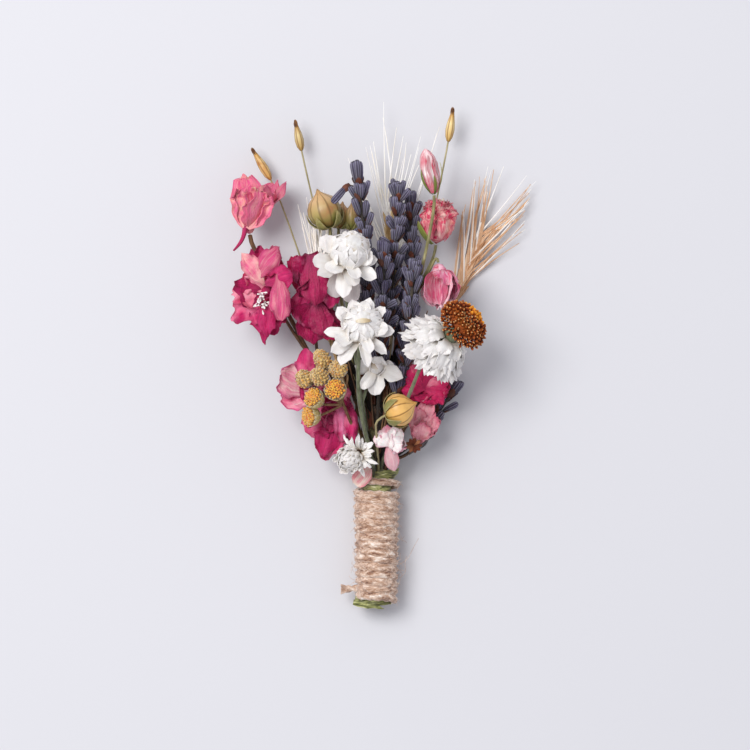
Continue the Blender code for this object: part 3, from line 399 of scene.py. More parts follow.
def huskMaterial(look):
    # a dry seed case or calyx: colour runs from root to tip, ribs follow the UV map's turns
    made, tree, shader = startMaterial(look["name"], {"Roughness": look["roughness"], "IOR": 1.5,
                                                      "Sheen Weight": look["sheen"]})
    spots = addNode(tree, "ShaderNodeTexCoord", {}, {})
    split = addNode(tree, "ShaderNodeSeparateXYZ", {}, {0: (spots, "UV")})
    tone = addNode(tree, "ShaderNodeAttribute", {"attribute_name": "tone"}, {})
    lengthways = addNode(tree, "ShaderNodeValToRGB", {"stops": look["along"]}, {0: (split, "Y")})
    blotches = addNode(tree, "ShaderNodeTexNoise", {"Scale": perMm(look["blotch"]), "Detail": 3},
                       {"Vector": (spots, "Object")})
    both = addNode(tree, "ShaderNodeMath", {"operation": "MULTIPLY_ADD", 1: 0.5},
                   {0: (tone, "Fac"), 2: (blotches, "Fac")})
    share = addNode(tree, "ShaderNodeMapRange", {"From Min": look["patchFrom"], "From Max": look["patchFrom"] + 0.25},
                    {"Value": (both, 0)})
    patched = addNode(tree, "ShaderNodeMix", {"data_type": "RGBA", 7: linear(look["patch"])},
                      {0: (share, 0), 6: (lengthways, 0)})
    turns = addNode(tree, "ShaderNodeMath", {"operation": "MULTIPLY", 1: look["ribs"] * 2 * math.pi},
                    {0: (split, "X")})
    ripple = addNode(tree, "ShaderNodeMath", {"operation": "COSINE"}, {0: (turns, 0)})
    # the dark colour is mixed into the grooves between the ribs; on the lavender calyx it is painted shade
    groove = addNode(tree, "ShaderNodeMapRange", {"From Min": -1, "From Max": look["line"], "To Min": look["groove"],
                                                  "To Max": 0}, {"Value": (ripple, 0)})
    grooved = addNode(tree, "ShaderNodeMix", {"data_type": "RGBA", 7: linear(look["dark"])},
                      {0: (groove, 0), 6: (patched, 2)})
    shade = addNode(tree, "ShaderNodeMapRange", {"To Min": 0.75, "To Max": 1.2}, {"Value": (tone, "Fac")})
    shaded = addNode(tree, "ShaderNodeHueSaturation", {}, {"Value": (shade, 0), "Color": (grooved, 2)})
    tree.links.new(shaded.outputs[0], shader.inputs["Base Color"])
    fine = addNode(tree, "ShaderNodeTexNoise", {"Scale": perMm(0.3), "Detail": 3}, {"Vector": (spots, "Object")})
    relief = addNode(tree, "ShaderNodeMath", {"operation": "MULTIPLY_ADD", 1: 0.6}, {0: (fine, "Fac"), 2: (ripple, 0)})
    bump = addNode(tree, "ShaderNodeBump", {"Strength": look["bump"], "Distance": 0.12 * mm},
                   {"Height": (relief, 0)})
    tree.links.new(bump.outputs[0], shader.inputs["Normal"])
    return made


# Where the stems run: side by side in the tie, then fanned out to their heads

stemLook = {"pitch": 1.2, "radius": 0.45, "fanStart": 38.2, "fanBend": 4.0, "neck": 2.5, "gap": 0.3}


def fan(y):
    rise = max(0.0, y - stemLook["fanStart"])
    bend = stemLook["fanBend"]
    return rise * rise / (2 * bend) if rise < bend else rise - bend / 2


def assignSlots(ends):       # slots are swapped until no two stems cross
    pitch = stemLook["pitch"]
    places = [(pitch * (column + 0.5 * (row % 2)), pitch * row * math.sqrt(3) / 2)
              for row in range(-3, 4) for column in range(-4, 5)]
    places.sort(key=lambda place: (round(math.hypot(*place), 3), -place[1], place[0]))
    names = sorted(ends)
    slots = {name: (x, tieHeight + z) for name, (x, z) in zip(names, places)}
    leans = {name: (ends[name][0] / fan(ends[name][1]), (ends[name][2] - tieHeight) / fan(ends[name][1]))
             for name in names}
    swapped = True
    while swapped:
        swapped = False
        for first in names:
            for second in names:
                wide = (slots[first][0] - slots[second][0]) * (leans[first][0] - leans[second][0])
                high = (slots[first][1] - slots[second][1]) * (leans[first][1] - leans[second][1])
                if wide + high < -1e-9:
                    slots[first], slots[second] = slots[second], slots[first]
                    swapped = True
    return slots


def stemRoute(slot, end, bow=(0, 0, 0), steps=4):
    x, z = slot
    end = Vector(end)
    start = stemLook["fanStart"]
    leanX = (end.x - x) / fan(end.y)
    leanZ = (end.z - z) / fan(end.y)
    bendEnd = min(start + stemLook["fanBend"], start + 0.7 * (end.y - start))
    heights = [start + (bendEnd - start) * share for share in (0.5, 1.0)]
    heights += [bendEnd + (end.y - bendEnd) * step / steps for step in range(1, steps + 1)]
    points = [Vector((x, stemFootY, z)), Vector((x, start, z))]
    for y in heights:
        swing = math.sin(math.pi * (y - start) / (end.y - start))
        points.append(Vector((x + leanX * fan(y) + bow[0] * swing, y, z + leanZ * fan(y) + bow[2] * swing)))
    return points


def neckOf(base, facing, below=None):
    below = stemLook["neck"] if below is None else below
    return Vector(base) - Vector(facing).normalized() * (stemLook["gap"] + below)


def seatOf(base, facing):
    return Vector(base) - Vector(facing).normalized() * stemLook["gap"]


def stemTo(slot, base, facing, radius, below=None, bow=(0, 0, 0)):
    points = stemRoute(slot, neckOf(base, facing, below), bow) + [seatOf(base, facing)]
    return points, [stemLook["radius"]] * 3 + [radius] * (len(points) - 3)


def branchTo(start, base, facing, radius, below=None):
    turn = neckOf(base, facing, below)
    middle = start.lerp(turn, 0.5) + Vector((0, -0.06, 0)) * (turn - start).length
    return [start, middle, turn, seatOf(base, facing)], [radius] * 4


def placeOn(points, y):
    for first, second in zip(points, points[1:]):
        if first.y <= y <= second.y:
            return first.lerp(second, (y - first.y) / (second.y - first.y))
    return points[-1]


# Larkspur blooms: base, the way it faces, and each petal's tip, width, sag and dish

topLeftBloom = {
    "base": (-35.4, 104.6, 11.0), "facing": (-0.1, 0.95, 0.2), "heart": 2.2,
    "petals": [((-38.8, 119.0, 13.5), 6.4, 1.8, 1.0), ((-36.6, 121.0, 17.0), 7.0, 1.4, 1.2),
               ((-31.6, 118.4, 18.0), 7.4, 1.6, 1.0), ((-28.2, 116.6, 14.4), 6.6, 1.6, 1.0),
               ((-24.6, 119.2, 11.0), 7.2, 0.8, 1.2), ((-34.0, 119.6, 9.4), 7.6, 0.8, 0.8)],
}
leftBloom = {
    "base": (-30.2, 88.5, 14.0), "facing": (-0.15, 0.0, 1.0), "heart": 2.4,
    "petals": [((-41.0, 90.4, 17.0), 9.4, 0.8, 0.8), ((-41.2, 79.6, 15.6), 8.6, 0.8, 0.8),
               ((-30.2, 73.2, 16.6), 9.2, 0.8, 1.0), ((-34.2, 102.6, 16.0), 9.2, 0.8, 1.0),
               ((-27.2, 102.8, 19.6), 6.4, 0.6, 0.8), ((-24.4, 80.8, 20.6), 8.0, 1.2, 1.0),
               ((-25.0, 93.6, 22.4), 7.6, 1.0, 0.8), ((-34.0, 84.4, 21.6), 4.6, 0.4, 0.6)],
}
middleLeftBloom = {
    "base": (-17.4, 86.0, 14.6), "facing": (0.1, 0.1, 1.0), "heart": 2.0,
    "petals": [((-21.6, 99.8, 19.0), 6.4, 0.8, 0.8), ((-16.0, 100.4, 15.4), 6.8, 0.6, 0.8),
               ((-13.4, 91.8, 17.0), 6.6, 0.4, 0.6), ((-12.0, 84.0, 18.0), 6.6, 0.4, 0.6),
               ((-10.8, 75.2, 15.6), 6.6, 0.8, 0.8), ((-18.6, 73.4, 17.4), 7.4, 0.6, 0.8),
               ((-20.4, 92.6, 23.0), 6.0, 0.8, 0.8)],
}
lowLeftBloom = {
    "base": (-17.0, 60.0, 10.4), "facing": (-0.3, 0.4, 0.9), "heart": 1.8,
    "petals": [((-27.8, 66.0, 13.4), 10.0, 0.8, 1.2), ((-27.0, 57.0, 12.4), 8.6, 0.6, 0.8),
               ((-20.6, 72.4, 15.4), 6.4, 0.8, 0.8), ((-14.6, 67.0, 15.0), 6.4, 0.4, 0.6)],
}
lowBloom = {
    "base": (-9.4, 52.4, 10.2), "facing": (-0.5, 0.5, 0.7), "heart": 2.0,
    "petals": [((-20.6, 51.6, 13.0), 9.8, 0.8, 0.8), ((-14.4, 40.8, 12.4), 9.4, 0.8, 0.8),
               ((-14.2, 60.4, 14.6), 7.8, 0.6, 0.6), ((-8.2, 62.8, 13.4), 6.6, 0.6, 0.6),
               ((-6.4, 45.0, 11.6), 5.0, 0.4, 0.6), ((-15.0, 48.6, 14.4), 5.0, 0.4, 0.8)],
}
rightBloom = {
    "base": (13.6, 60.6, 11.6), "facing": (0.1, 0.3, 0.95), "heart": 1.8,
    "petals": [((7.2, 60.6, 12.4), 5.4, 0.4, 0.6), ((11.2, 68.0, 14.4), 6.6, 0.4, 0.6),
               ((17.8, 67.2, 14.6), 7.0, 0.4, 0.6), ((21.0, 61.0, 14.4), 7.0, 0.4, 0.6),
               ((13.6, 56.4, 15.6), 5.0, 0.2, 0.6)],
}
lowRightBloom = {
    "base": (10.4, 45.6, 9.4), "facing": (0.4, 0.8, 0.5), "heart": 1.6,
    "petals": [((13.4, 56.0, 11.0), 5.0, 0.6, 0.8), ((17.8, 55.0, 11.4), 5.4, 0.4, 0.8),
               ((17.4, 49.8, 12.4), 5.4, 0.4, 0.8), ((14.0, 52.0, 14.2), 4.2, 0.2, 0.6)],
}
frontBloom = {
    "base": (4.6, 42.6, 12.8), "facing": (0.2, 0.8, 0.55), "heart": 1.2,
    "petals": [((2.6, 48.4, 18.0), 3.8, 0.4, 0.6), ((4.6, 50.4, 15.6), 4.0, 0.4, 0.6),
               ((8.2, 49.0, 15.6), 4.2, 0.4, 0.6), ((7.6, 45.0, 17.6), 4.0, 0.3, 0.6)],
}
roseBloom = {
    "base": (17.2, 96.4, 16.6), "facing": (0.1, -0.95, 0.2), "heart": 3.0,
    "petals": [((15.4, 84.2, 17.6), 5.6, 1.4, 1.0), ((19.0, 83.2, 19.2), 6.0, 1.4, 1.0),
               ((22.4, 86.4, 16.6), 5.6, 1.6, 1.0), ((22.2, 91.4, 19.4), 4.6, 0.8, 0.8),
               ((18.0, 84.4, 13.6), 5.6, 1.2, 1.0)],
}

# White everlastings: middle of the ring of bracts, the way the head faces, ring radius, bracts
upperEverlasting = {"middle": (-8.8, 97.0, 26.0), "facing": (0.18, 0.42, 0.85), "radius": 9.6, "bracts": 10,
                    "inner": 5, "dome": 4.6}
middleEverlasting = {"middle": (-4.6, 77.2, 30.0), "facing": (0.0, 0.3, 0.94), "radius": 9.8, "bracts": 10,
                     "inner": 5, "dome": 4.6}
backEverlasting = {"middle": (0.0, 67.6, 19.0), "facing": (0.2, -0.3, 0.93), "radius": 6.6, "bracts": 7,
                   "inner": 0, "dome": 2.2}
smallEverlasting = {"middle": (-5.0, 43.2, 19.0), "facing": (-0.4, -0.3, 0.85), "radius": 6.4, "bracts": 7,
                    "inner": 0, "dome": 2.4}
cupDepth = 2.4

daisyHead = {"middle": (17.0, 73.2, 25.0), "facing": (0.64, 0.54, 0.55), "radius": 10.0, "back": 3.0, "rise": 6.9}

lavenderSpikes = {
    "lavender_1": {"low": (-2.6, 98.0, 17.6), "tip": (-5.8, 125.4, 20.4), "whorls": 5},
    "lavender_2": {"low": (4.9, 95.0, 13.0), "tip": (6.2, 119.5, 16.4), "whorls": 5},
    "lavender_3": {"low": (10.0, 94.0, 9.2), "tip": (9.4, 117.0, 10.0), "whorls": 4},
    "lavender_4": {"low": (1.9, 80.0, 18.6), "tip": (1.9, 103.0, 20.4), "whorls": 5},
    "lavender_5": {"low": (8.0, 69.0, 16.8), "tip": (10.8, 98.0, 21.8), "whorls": 6},
    "lavender_6": {"low": (12.8, 48.0, 4.4), "tip": (23.4, 64.0, 4.2), "whorls": 4},
}

wheatEars = {
    "wheat_left": {"foot": (-12.6, 74.0, 8.4), "top": (-15.6, 93.0, 8.2), "spikelets": 6,
                   "awns": [(-22.0, 113.0, 6.0), (-9.6, 112.0, 6.0), (-19.6, 115.0, 5.0), (-12.6, 115.0, 5.0),
                            (-17.4, 116.0, 7.0), (-14.8, 117.0, 5.6)]},
    "wheat_middle": {"foot": (5.6, 88.0, 5.2), "top": (3.8, 108.0, 5.4), "spikelets": 6,
                     "awns": [(-8.0, 126.0, 4.0), (17.6, 134.6, 5.0), (-3.0, 129.0, 6.4), (12.4, 132.0, 4.4),
                              (2.0, 141.6, 5.4), (5.6, 134.4, 6.0)]},
    "wheat_right": {"foot": (21.0, 84.0, 1.0), "top": (27.8, 101.0, 1.3), "spikelets": 8,
                    "awns": [(24.6, 112.0, 3.4), (41.6, 106.0, 3.0), (27.4, 120.0, 4.4), (42.6, 113.6, 4.0),
                             (31.2, 123.6, 3.4), (44.6, 119.4, 3.0), (35.6, 123.6, 4.4), (42.0, 121.0, 5.0)]},
}

# Flax bolls: base, tip, radius
sprayBolls = [((-13.0, 106.2, 17.0), (-16.6, 117.2, 18.0), 4.7),
              ((-10.6, 106.0, 11.6), (-9.4, 113.8, 11.4), 2.9),
              ((-7.2, 105.6, 13.0), (-7.0, 113.6, 13.4), 1.8)]
frontBoll = ((2.4, 54.0, 24.4), (11.4, 57.6, 25.4), 4.6)

capsules = {"capsule_left": ((-29.4, 119.6, 5.0), (-34.6, 128.2, 5.0)),
            "capsule_middle": ((-20.9, 127.7, 5.8), (-22.6, 135.8, 6.2)),
            "capsule_right": ((20.0, 130.2, 6.4), (21.4, 139.4, 6.8))}

# Yellow buttons: base, top, radius, open or closed
buttonHub = (-9.6, 58.0, 20.0)
buttons = [((-8.6, 65.6, 22.6), (-12.2, 68.0, 25.4), 2.4, False),
           ((-10.6, 60.2, 23.4), (-11.8, 61.6, 28.4), 2.6, True),
           ((-13.4, 66.4, 20.6), (-16.4, 71.8, 23.4), 2.1, False),
           ((-14.2, 63.2, 22.4), (-17.2, 66.2, 26.4), 2.2, False),
           ((-17.8, 62.2, 19.0), (-21.6, 65.8, 20.6), 2.2, False),
           ((-15.6, 57.4, 20.6), (-18.2, 59.4, 24.6), 2.4, True),
           ((-16.0, 54.0, 17.6), (-19.6, 53.6, 20.6), 2.4, True)]

roseBud = ((16.0, 115.6, 20.6), (14.0, 128.4, 21.2))
roseBall = ((16.6, 101.8, 13.0), (18.0, 115.2, 13.0))


def cupBack(head):
    return Vector(head["middle"]) - Vector(head["facing"]).normalized() * cupDepth


stemEnds = {"larkspur_left": topLeftBloom["base"], "larkspur_low": lowLeftBloom["base"],
            "larkspur_right": rightBloom["base"], "larkspur_front": frontBloom["base"],
            "everlasting_back": cupBack(upperEverlasting), "everlasting_front": cupBack(middleEverlasting),
            "everlasting_small": cupBack(smallEverlasting), "daisy": daisyHead["middle"], "rose": roseBud[0],
            "flax_spray": sprayBolls[0][0], "flax_front": frontBoll[0], "buttons": buttonHub}
stemEnds.update({name: spike["low"] for name, spike in lavenderSpikes.items()})
stemEnds.update({name: ear["foot"] for name, ear in wheatEars.items()})
stemEnds.update({name: base for name, (base, tip) in capsules.items()})
slots = assignSlots({name: tuple(end) for name, end in stemEnds.items()})


# Finishes that several pieces share

brownBark = stemMaterial({"name": "dryLarkspurStem", "roughness": 0.75, "sheen": 0.0, "bump": 0.5,
                          "stops": [(0, "3a2618"), (0.45, "6b4a30"), (0.8, "8d6b48"), (1, "a58a62")]})
woollyGreen = stemMaterial({"name": "woollyGreenStem", "roughness": 0.9, "sheen": 0.5, "bump": 0.4,
                            "stops": [(0, "4c5138"), (0.5, "7b8262"), (0.85, "9aa083"), (1, "b5b8a0")]})
lightGreen = stemMaterial({"name": "lightGreenStem", "roughness": 0.6, "sheen": 0.1, "bump": 0.3,
                           "stops": [(0, "5c5430"), (0.5, "8e8656"), (0.85, "b0a67a"), (1, "c8bf98")]})
paleStalk = stemMaterial({"name": "paleGreenStalk", "roughness": 0.55, "sheen": 0.1, "bump": 0.3,
                          "stops": [(0, "7c7448"), (0.5, "a09468"), (0.85, "b8ab80"), (1, "cbbf98")]})
strawSkin = stemMaterial({"name": "strawHusk", "roughness": 0.45, "sheen": 0.2, "bump": 0.35,
                          "stops": [(0, "a07c4a"), (0.4, "c9a873"), (0.75, "e0cba0"), (1, "f0e4c8")]})
redStraw = stemMaterial({"name": "redStrawHusk", "roughness": 0.5, "sheen": 0.2, "bump": 0.4,
                         "stops": [(0, "b4845c"), (0.4, "d8ac84"), (0.75, "ecc8a4"), (1, "f8e6cc")]})
creamHair = stemMaterial({"name": "creamAwn", "roughness": 0.4, "sheen": 0.2, "bump": 0.1,
                          "stops": [(0, "f0e8da"), (0.4, "fbf7f0"), (1, "fffefc")]})


# Twine and tape

tornBlank = flatBlank("tornBlank", 12, 4, [(0, 0.7), (0.2, 1.0), (0.5, 0.86), (0.8, 0.5), (1, 0.04)])
tieLook = {"topRadius": 5.6, "footRadius": 4.95, "depthRadius": 5.04, "start": 1.55, "pitch": 2.064, "turns": 16.2,
           "slit": 1.35, "slitFrom": 15.0, "perTurn": 44, "plyRadius": 0.82, "plyOffset": 0.27, "plyPitch": 5.4,
           "hairs": 190, "flyaways": 260}


def twinePoint(turn, out=1.0):       # the middle of the twine at a turn, and out times as far from the stems
    look = tieLook
    angle = math.pi + 2 * math.pi * turn
    ease = min(1, max(0, (turn - look["slitFrom"]) / 0.6))
    y = look["start"] + look["pitch"] * turn + look["slit"] * ease
    y += 0.2 * math.sin(turn * 3.7) * math.sin(angle) + 0.12 * math.sin(turn * 9.1)
    loose = 0.08 * math.sin(turn * 5.3 + 1) - 0.06
    side = look["footRadius"] + (look["topRadius"] - look["footRadius"]) * turn / look["turns"] + loose
    return Vector((side * out * math.cos(angle), y,
                   tieHeight + (look["depthRadius"] + min(0, loose)) * out * math.sin(angle)))


def pliesAlong(centres, ways, radius, offset, pitch):    # two strands twisted round each other
    travelled = 0.0
    plies = [[], []]
    for place, centre in enumerate(centres):
        if place:
            travelled += (centre - centres[place - 1]).length
        ahead = (centres[min(place + 1, len(centres) - 1)] - centres[max(place - 1, 0)]).normalized()
        out = (ways[place] - ahead * ways[place].dot(ahead)).normalized()
        side = ahead.cross(out)
        twist = 2 * math.pi * travelled / pitch
        for hand, ply in zip((0, math.pi), plies):
            ply.append(centre + (out * math.cos(twist + hand) + side * math.sin(twist + hand)) * offset)
    return [(ply, [radius] * len(ply)) for ply in plies]


def makeTie():
    draw = random.Random(5)
    look = tieLook
    jute, tree, shader = startMaterial("juteTwine", {"Roughness": 0.9, "Sheen Weight": 0.4,
                                                     "Sheen Roughness": 0.6, "IOR": 1.5})
    # jute: coarse bast fibre spun in two plies, dull, with pale and brown strands along it; the fine noise that sets
    # the colour also raises the bump, so the palest colour on raised fibres is partly painted highlight and the darkest
    # in the hollows partly painted shade
    spots = addNode(tree, "ShaderNodeTexCoord", {}, {})
    drawn = addNode(tree, "ShaderNodeMapping", {"Rotation": (0, 0, 0.22), "Scale": (0.28, 1, 1)},
                    {0: (spots, "Object")})
    coarse = addNode(tree, "ShaderNodeTexNoise", {"Scale": perMm(1.3), "Detail": 4, "Distortion": 0.5},
                     {"Vector": (drawn, 0)})
    fine = addNode(tree, "ShaderNodeTexNoise", {"Scale": perMm(0.3), "Detail": 4, "Distortion": 0.7},
                   {"Vector": (drawn, 0)})
    mixed = addNode(tree, "ShaderNodeMath", {"operation": "MULTIPLY_ADD", 1: 0.8},
                    {0: (fine, "Fac"), 2: (coarse, "Fac")})
    share = addNode(tree, "ShaderNodeMapRange", {"From Min": 0.62, "From Max": 1.18}, {"Value": (mixed, 0)})
    # fibre colours, with the darkest stop partly painted shade and the palest partly painted highlight
    colours = addNode(tree, "ShaderNodeValToRGB", {"stops": [(0, "683c26"), (0.28, "a67c60"), (0.52, "caa890"),
                                                             (0.8, "e8d2c0"), (1, "fdf4ea")]}, {0: (share, 0)})
    tree.links.new(colours.outputs[0], shader.inputs["Base Color"])
    bump = addNode(tree, "ShaderNodeBump", {"Strength": 0.9, "Distance": 0.2 * mm}, {"Height": (fine, "Fac")})
    tree.links.new(bump.outputs[0], shader.inputs["Normal"])

    steps = round(look["turns"] * look["perTurn"])
    centres = [twinePoint(step / look["perTurn"]) for step in range(steps + 1)]
    ways = [Vector((centre.x, 0, centre.z - tieHeight)) for centre in centres]
    plies = pliesAlong(centres, ways, look["plyRadius"], look["plyOffset"], look["plyPitch"])
    between = Vector((0, look["pitch"] / 2, 0))       # a first layer of turns shows brown between the outer ones
    under = [twinePoint(step / look["perTurn"], 0.93) + between for step in range(round(14.3 * look["perTurn"]))]
    tailWay = [Vector((-4.4 - 0.5 * step, 5.75 - 0.04 * step, 6.3 + 0.07 * step)) for step in range(11)]
    tail = pliesAlong(tailWay, [Vector((0, 0, 1))] * 11, 0.62, 0.46, 5.0)
    coil = tube(plies + tail + [(under, [0.85] * len(under))], 8, smooth=False)
    roughen(coil, 0.12, 0.7, 7)

    # loose fibres: hairs that lie along the turns and stray across them, and flyaways that stand off
    strands = []
    for number in range(look["hairs"]):
        turn = draw.uniform(0.2, look["turns"] - 0.4)
        drift = draw.uniform(-0.9, 0.9)
        reach = draw.uniform(0.06, 0.16)
        hair = [twinePoint(turn + reach * step / 4, 1.19 + 0.02 * math.sin(math.pi * step / 4))
                + Vector((0, drift * step / 4, 0)) for step in range(5)]
        if min(point.z for point in hair) > 1.5:
            strands.append((hair, [0.05, 0.09, 0.09, 0.08, 0.03]))
    for number in range(look["flyaways"]):
        root = twinePoint(draw.uniform(0.1, look["turns"] - 0.1), 1.14)
        out = Vector((root.x, 0, root.z - tieHeight)).normalized()
        if out.z < -0.4:
            continue
        ahead = Vector((-out.z, 0, out.x)) * draw.choice((-1, 1))
        length = draw.uniform(0.7, 2.6)
        lift = draw.uniform(0.2, 1.1)
        sideways = Vector((0, draw.uniform(-0.8, 0.8), 0))
        strands.append(([root, root + (ahead + out * lift * 0.5) * length * 0.4,
                         root + (ahead * 0.8 + out * lift + sideways) * length * 0.8,
                         root + (ahead * 0.6 + out * lift * 0.9 + sideways * 1.6) * length],
                        [0.05, 0.045, 0.04, 0.025]))
    for number in range(90):
        spread = Vector((0, draw.uniform(-1.0, 1.0), draw.uniform(-0.8, 0.8)))
        root = tailWay[-1] + spread * 0.7 + Vector((draw.uniform(0.2, 1.6), 0, 0))
        end = tailWay[-1] + spread * 1.35 + Vector((draw.uniform(-0.6, 0.1), 0, 0))
        strands.append(([root, root.lerp(end, 0.5) + Vector((0, 0, 0.1)), end], [0.2, 0.2, 0.16]))
    strands.append(([Vector((6.2, 12.2, 6.8)), Vector((8.8, 13.4, 7.2)), Vector((10.2, 17.0, 6.2)),
                     Vector((11.8, 19.6, 5.6))], [0.05] * 4))
    strands.append(([Vector((6.2, 8.4, 6.8)), Vector((8.4, 9.6, 6.0)), Vector((7.8, 12.6, 5.2)),
                     Vector((8.4, 14.6, 4.4))], [0.05] * 4))
    fibres = tube(strands, 4)
    finished("juteTwine", [painted(coil, jute), painted(fibres, jute)], "jute", "jute_twine")

    # florist tape: waxed crepe paper pulled tight, so it puckers in slanted ridges and tears ragged; its colour follows
    # the crease noise that also makes the bump, darker in the hollows as painted shade and paler on the ridges as
    # painted highlight
    tape, tree, shader = startMaterial("floristTape", {"Roughness": 0.55, "IOR": 1.45, "Coat Weight": 0.15,
                                                       "Coat Roughness": 0.4})
    spots = addNode(tree, "ShaderNodeTexCoord", {}, {})
    slanted = addNode(tree, "ShaderNodeMapping", {"Rotation": (0, 0, 0.5), "Scale": (0.4, 1.6, 0.4)},
                      {0: (spots, "Object")})
    creases = addNode(tree, "ShaderNodeTexNoise", {"Scale": perMm(1.1), "Detail": 4, "Distortion": 0.8},
                      {"Vector": (slanted, 0)})
    share = addNode(tree, "ShaderNodeMapRange", {"From Min": 0.35, "From Max": 0.68}, {"Value": (creases, "Fac")})
    # the dark stops fall in the crease hollows as painted shade, the pale stops on the ridges as painted highlight
    colours = addNode(tree, "ShaderNodeValToRGB", {"stops": [(0, "3c3b1e"), (0.4, "7c7e44"), (0.75, "b4b474"),
                                                             (1, "d8d4a8")]}, {0: (share, 0)})
    tree.links.new(colours.outputs[0], shader.inputs["Base Color"])
    bump = addNode(tree, "ShaderNodeBump", {"Strength": 0.8, "Distance": 0.3 * mm}, {"Height": (creases, "Fac")})
    tree.links.new(bump.outputs[0], shader.inputs["Normal"])
    deselect()
    bpy.ops.mesh.primitive_cylinder_add(vertices=64, radius=4.0, depth=38.4, end_fill_type="NOTHING",
                                        rotation=(-math.pi / 2, 0, 0), location=(0, 19.2, tieHeight))
    sleeve = bpy.context.object
    bpy.ops.object.transform_apply()
    bpy.ops.object.mode_set(mode="EDIT")
    mesh = bmesh.from_edit_mesh(sleeve.data)
    for edge in mesh.edges:
        edge.select = abs(edge.verts[0].co.y - edge.verts[1].co.y) > 1
    bmesh.update_edit_mesh(sleeve.data)
    bpy.ops.mesh.subdivide(number_cuts=60)
    bpy.ops.object.mode_set(mode="OBJECT")
    points = pointsOf(sleeve)
    angles = np.arctan2(points[:, 2] - tieHeight, points[:, 0])
    creased = wave(np.stack([points[:, 0] * 0.6, points[:, 1] + points[:, 0] * 0.5, points[:, 2]], axis=1), 1.5,
                   random.Random(3))
    radius = 4.0 + 0.1 * creased
    points[:, 0] = radius * np.cos(angles)
    points[:, 2] = tieHeight + radius * np.sin(angles)
    torn = 0.25 * np.sin(5 * angles) + 0.16 * np.sin(13 * angles)
    points[:, 1] += np.where(points[:, 1] < 0.9, 1.2 + torn * 0.6, 0)
    flare = np.clip((points[:, 1] - 35.6) / 2.4, 0, 1)
    points[:, 0] += flare * (1.5 + 0.22 * points[:, 0])
    points[:, 1] += np.where(points[:, 1] > 37.9, torn + 0.1 * points[:, 0], 0)
    movePoints(sleeve, points)
    applied(sleeve, "SOLIDIFY", thickness=0.22, offset=-1)
    setTone(sleeve, 0.5)
    flap = layPetal(tornBlank, (-6.5, 1.75, 8.2), (2.7, 0.0, 9.0), (0, -0.3, 1), 2.2, bow=0.2, cup=-0.4, ruffle=0.3,
                    crumple=0.5, ragged=0.1, seed=8)
    under = layPetal(tornBlank, (-6.0, 2.6, 7.6), (3.2, 1.2, 8.4), (0, -0.3, 1), 2.6, cup=-0.4, ruffle=0.3,
                     crumple=0.5, seed=9)
    ends = joined([flap, under])
    applied(ends, "SOLIDIFY", thickness=0.2, offset=-1)
    finished("floristTape", [painted(joined([sleeve, ends]), tape)], "florist_tape", "florist_tape")
    print("tie made")


# Petals of the larkspur and the rose

petalShape = {"rows": 16, "columns": 12, "thickness": 0.16,
              "smooth": [(0, 0.2), (0.12, 0.3), (0.3, 0.68), (0.5, 0.94), (0.66, 1.0), (0.8, 0.86), (0.92, 0.52),
                         (1, 0.1)],
              "lobed": [(0, 0.2), (0.14, 0.3), (0.3, 0.72), (0.44, 1.0), (0.54, 0.88), (0.62, 0.94), (0.74, 0.62),
                        (0.82, 0.56), (0.92, 0.3), (1, 0.04)],
              "cupped": [(0, 0.34), (0.12, 0.66), (0.3, 0.94), (0.55, 1.0), (0.8, 0.94), (0.92, 0.74), (1, 0.4)]}
petalBlank = flatBlank("petalBlank", petalShape["rows"], petalShape["columns"], petalShape["smooth"])
lobedPetalBlank = flatBlank("lobedPetalBlank", 20, 12, petalShape["lobed"])
roundPetalBlank = flatBlank("roundPetalBlank", 14, 12, petalShape["cupped"])
heartBlank = turnedBlank("heartBlank", 12, [(0, 0), (0.12, 0.6), (0.35, 0.95), (0.6, 1.0), (0.85, 0.6), (1, 0)])


def petalLook(name, root, body, tip, vein, edge, patch, **changes):
    look = {"name": name, "roughness": 0.55, "sheen": 0.06, "along": [(0, root), (0.4, body), (0.8, body), (1, tip)],
            "vein": vein, "veins": 0.5, "veinScale": (2.2, 16, 1), "edge": edge, "rim": 0.5, "patch": patch,
            "patchFrom": 0.95, "bump": 0.7}
    look.update(changes)
    return look


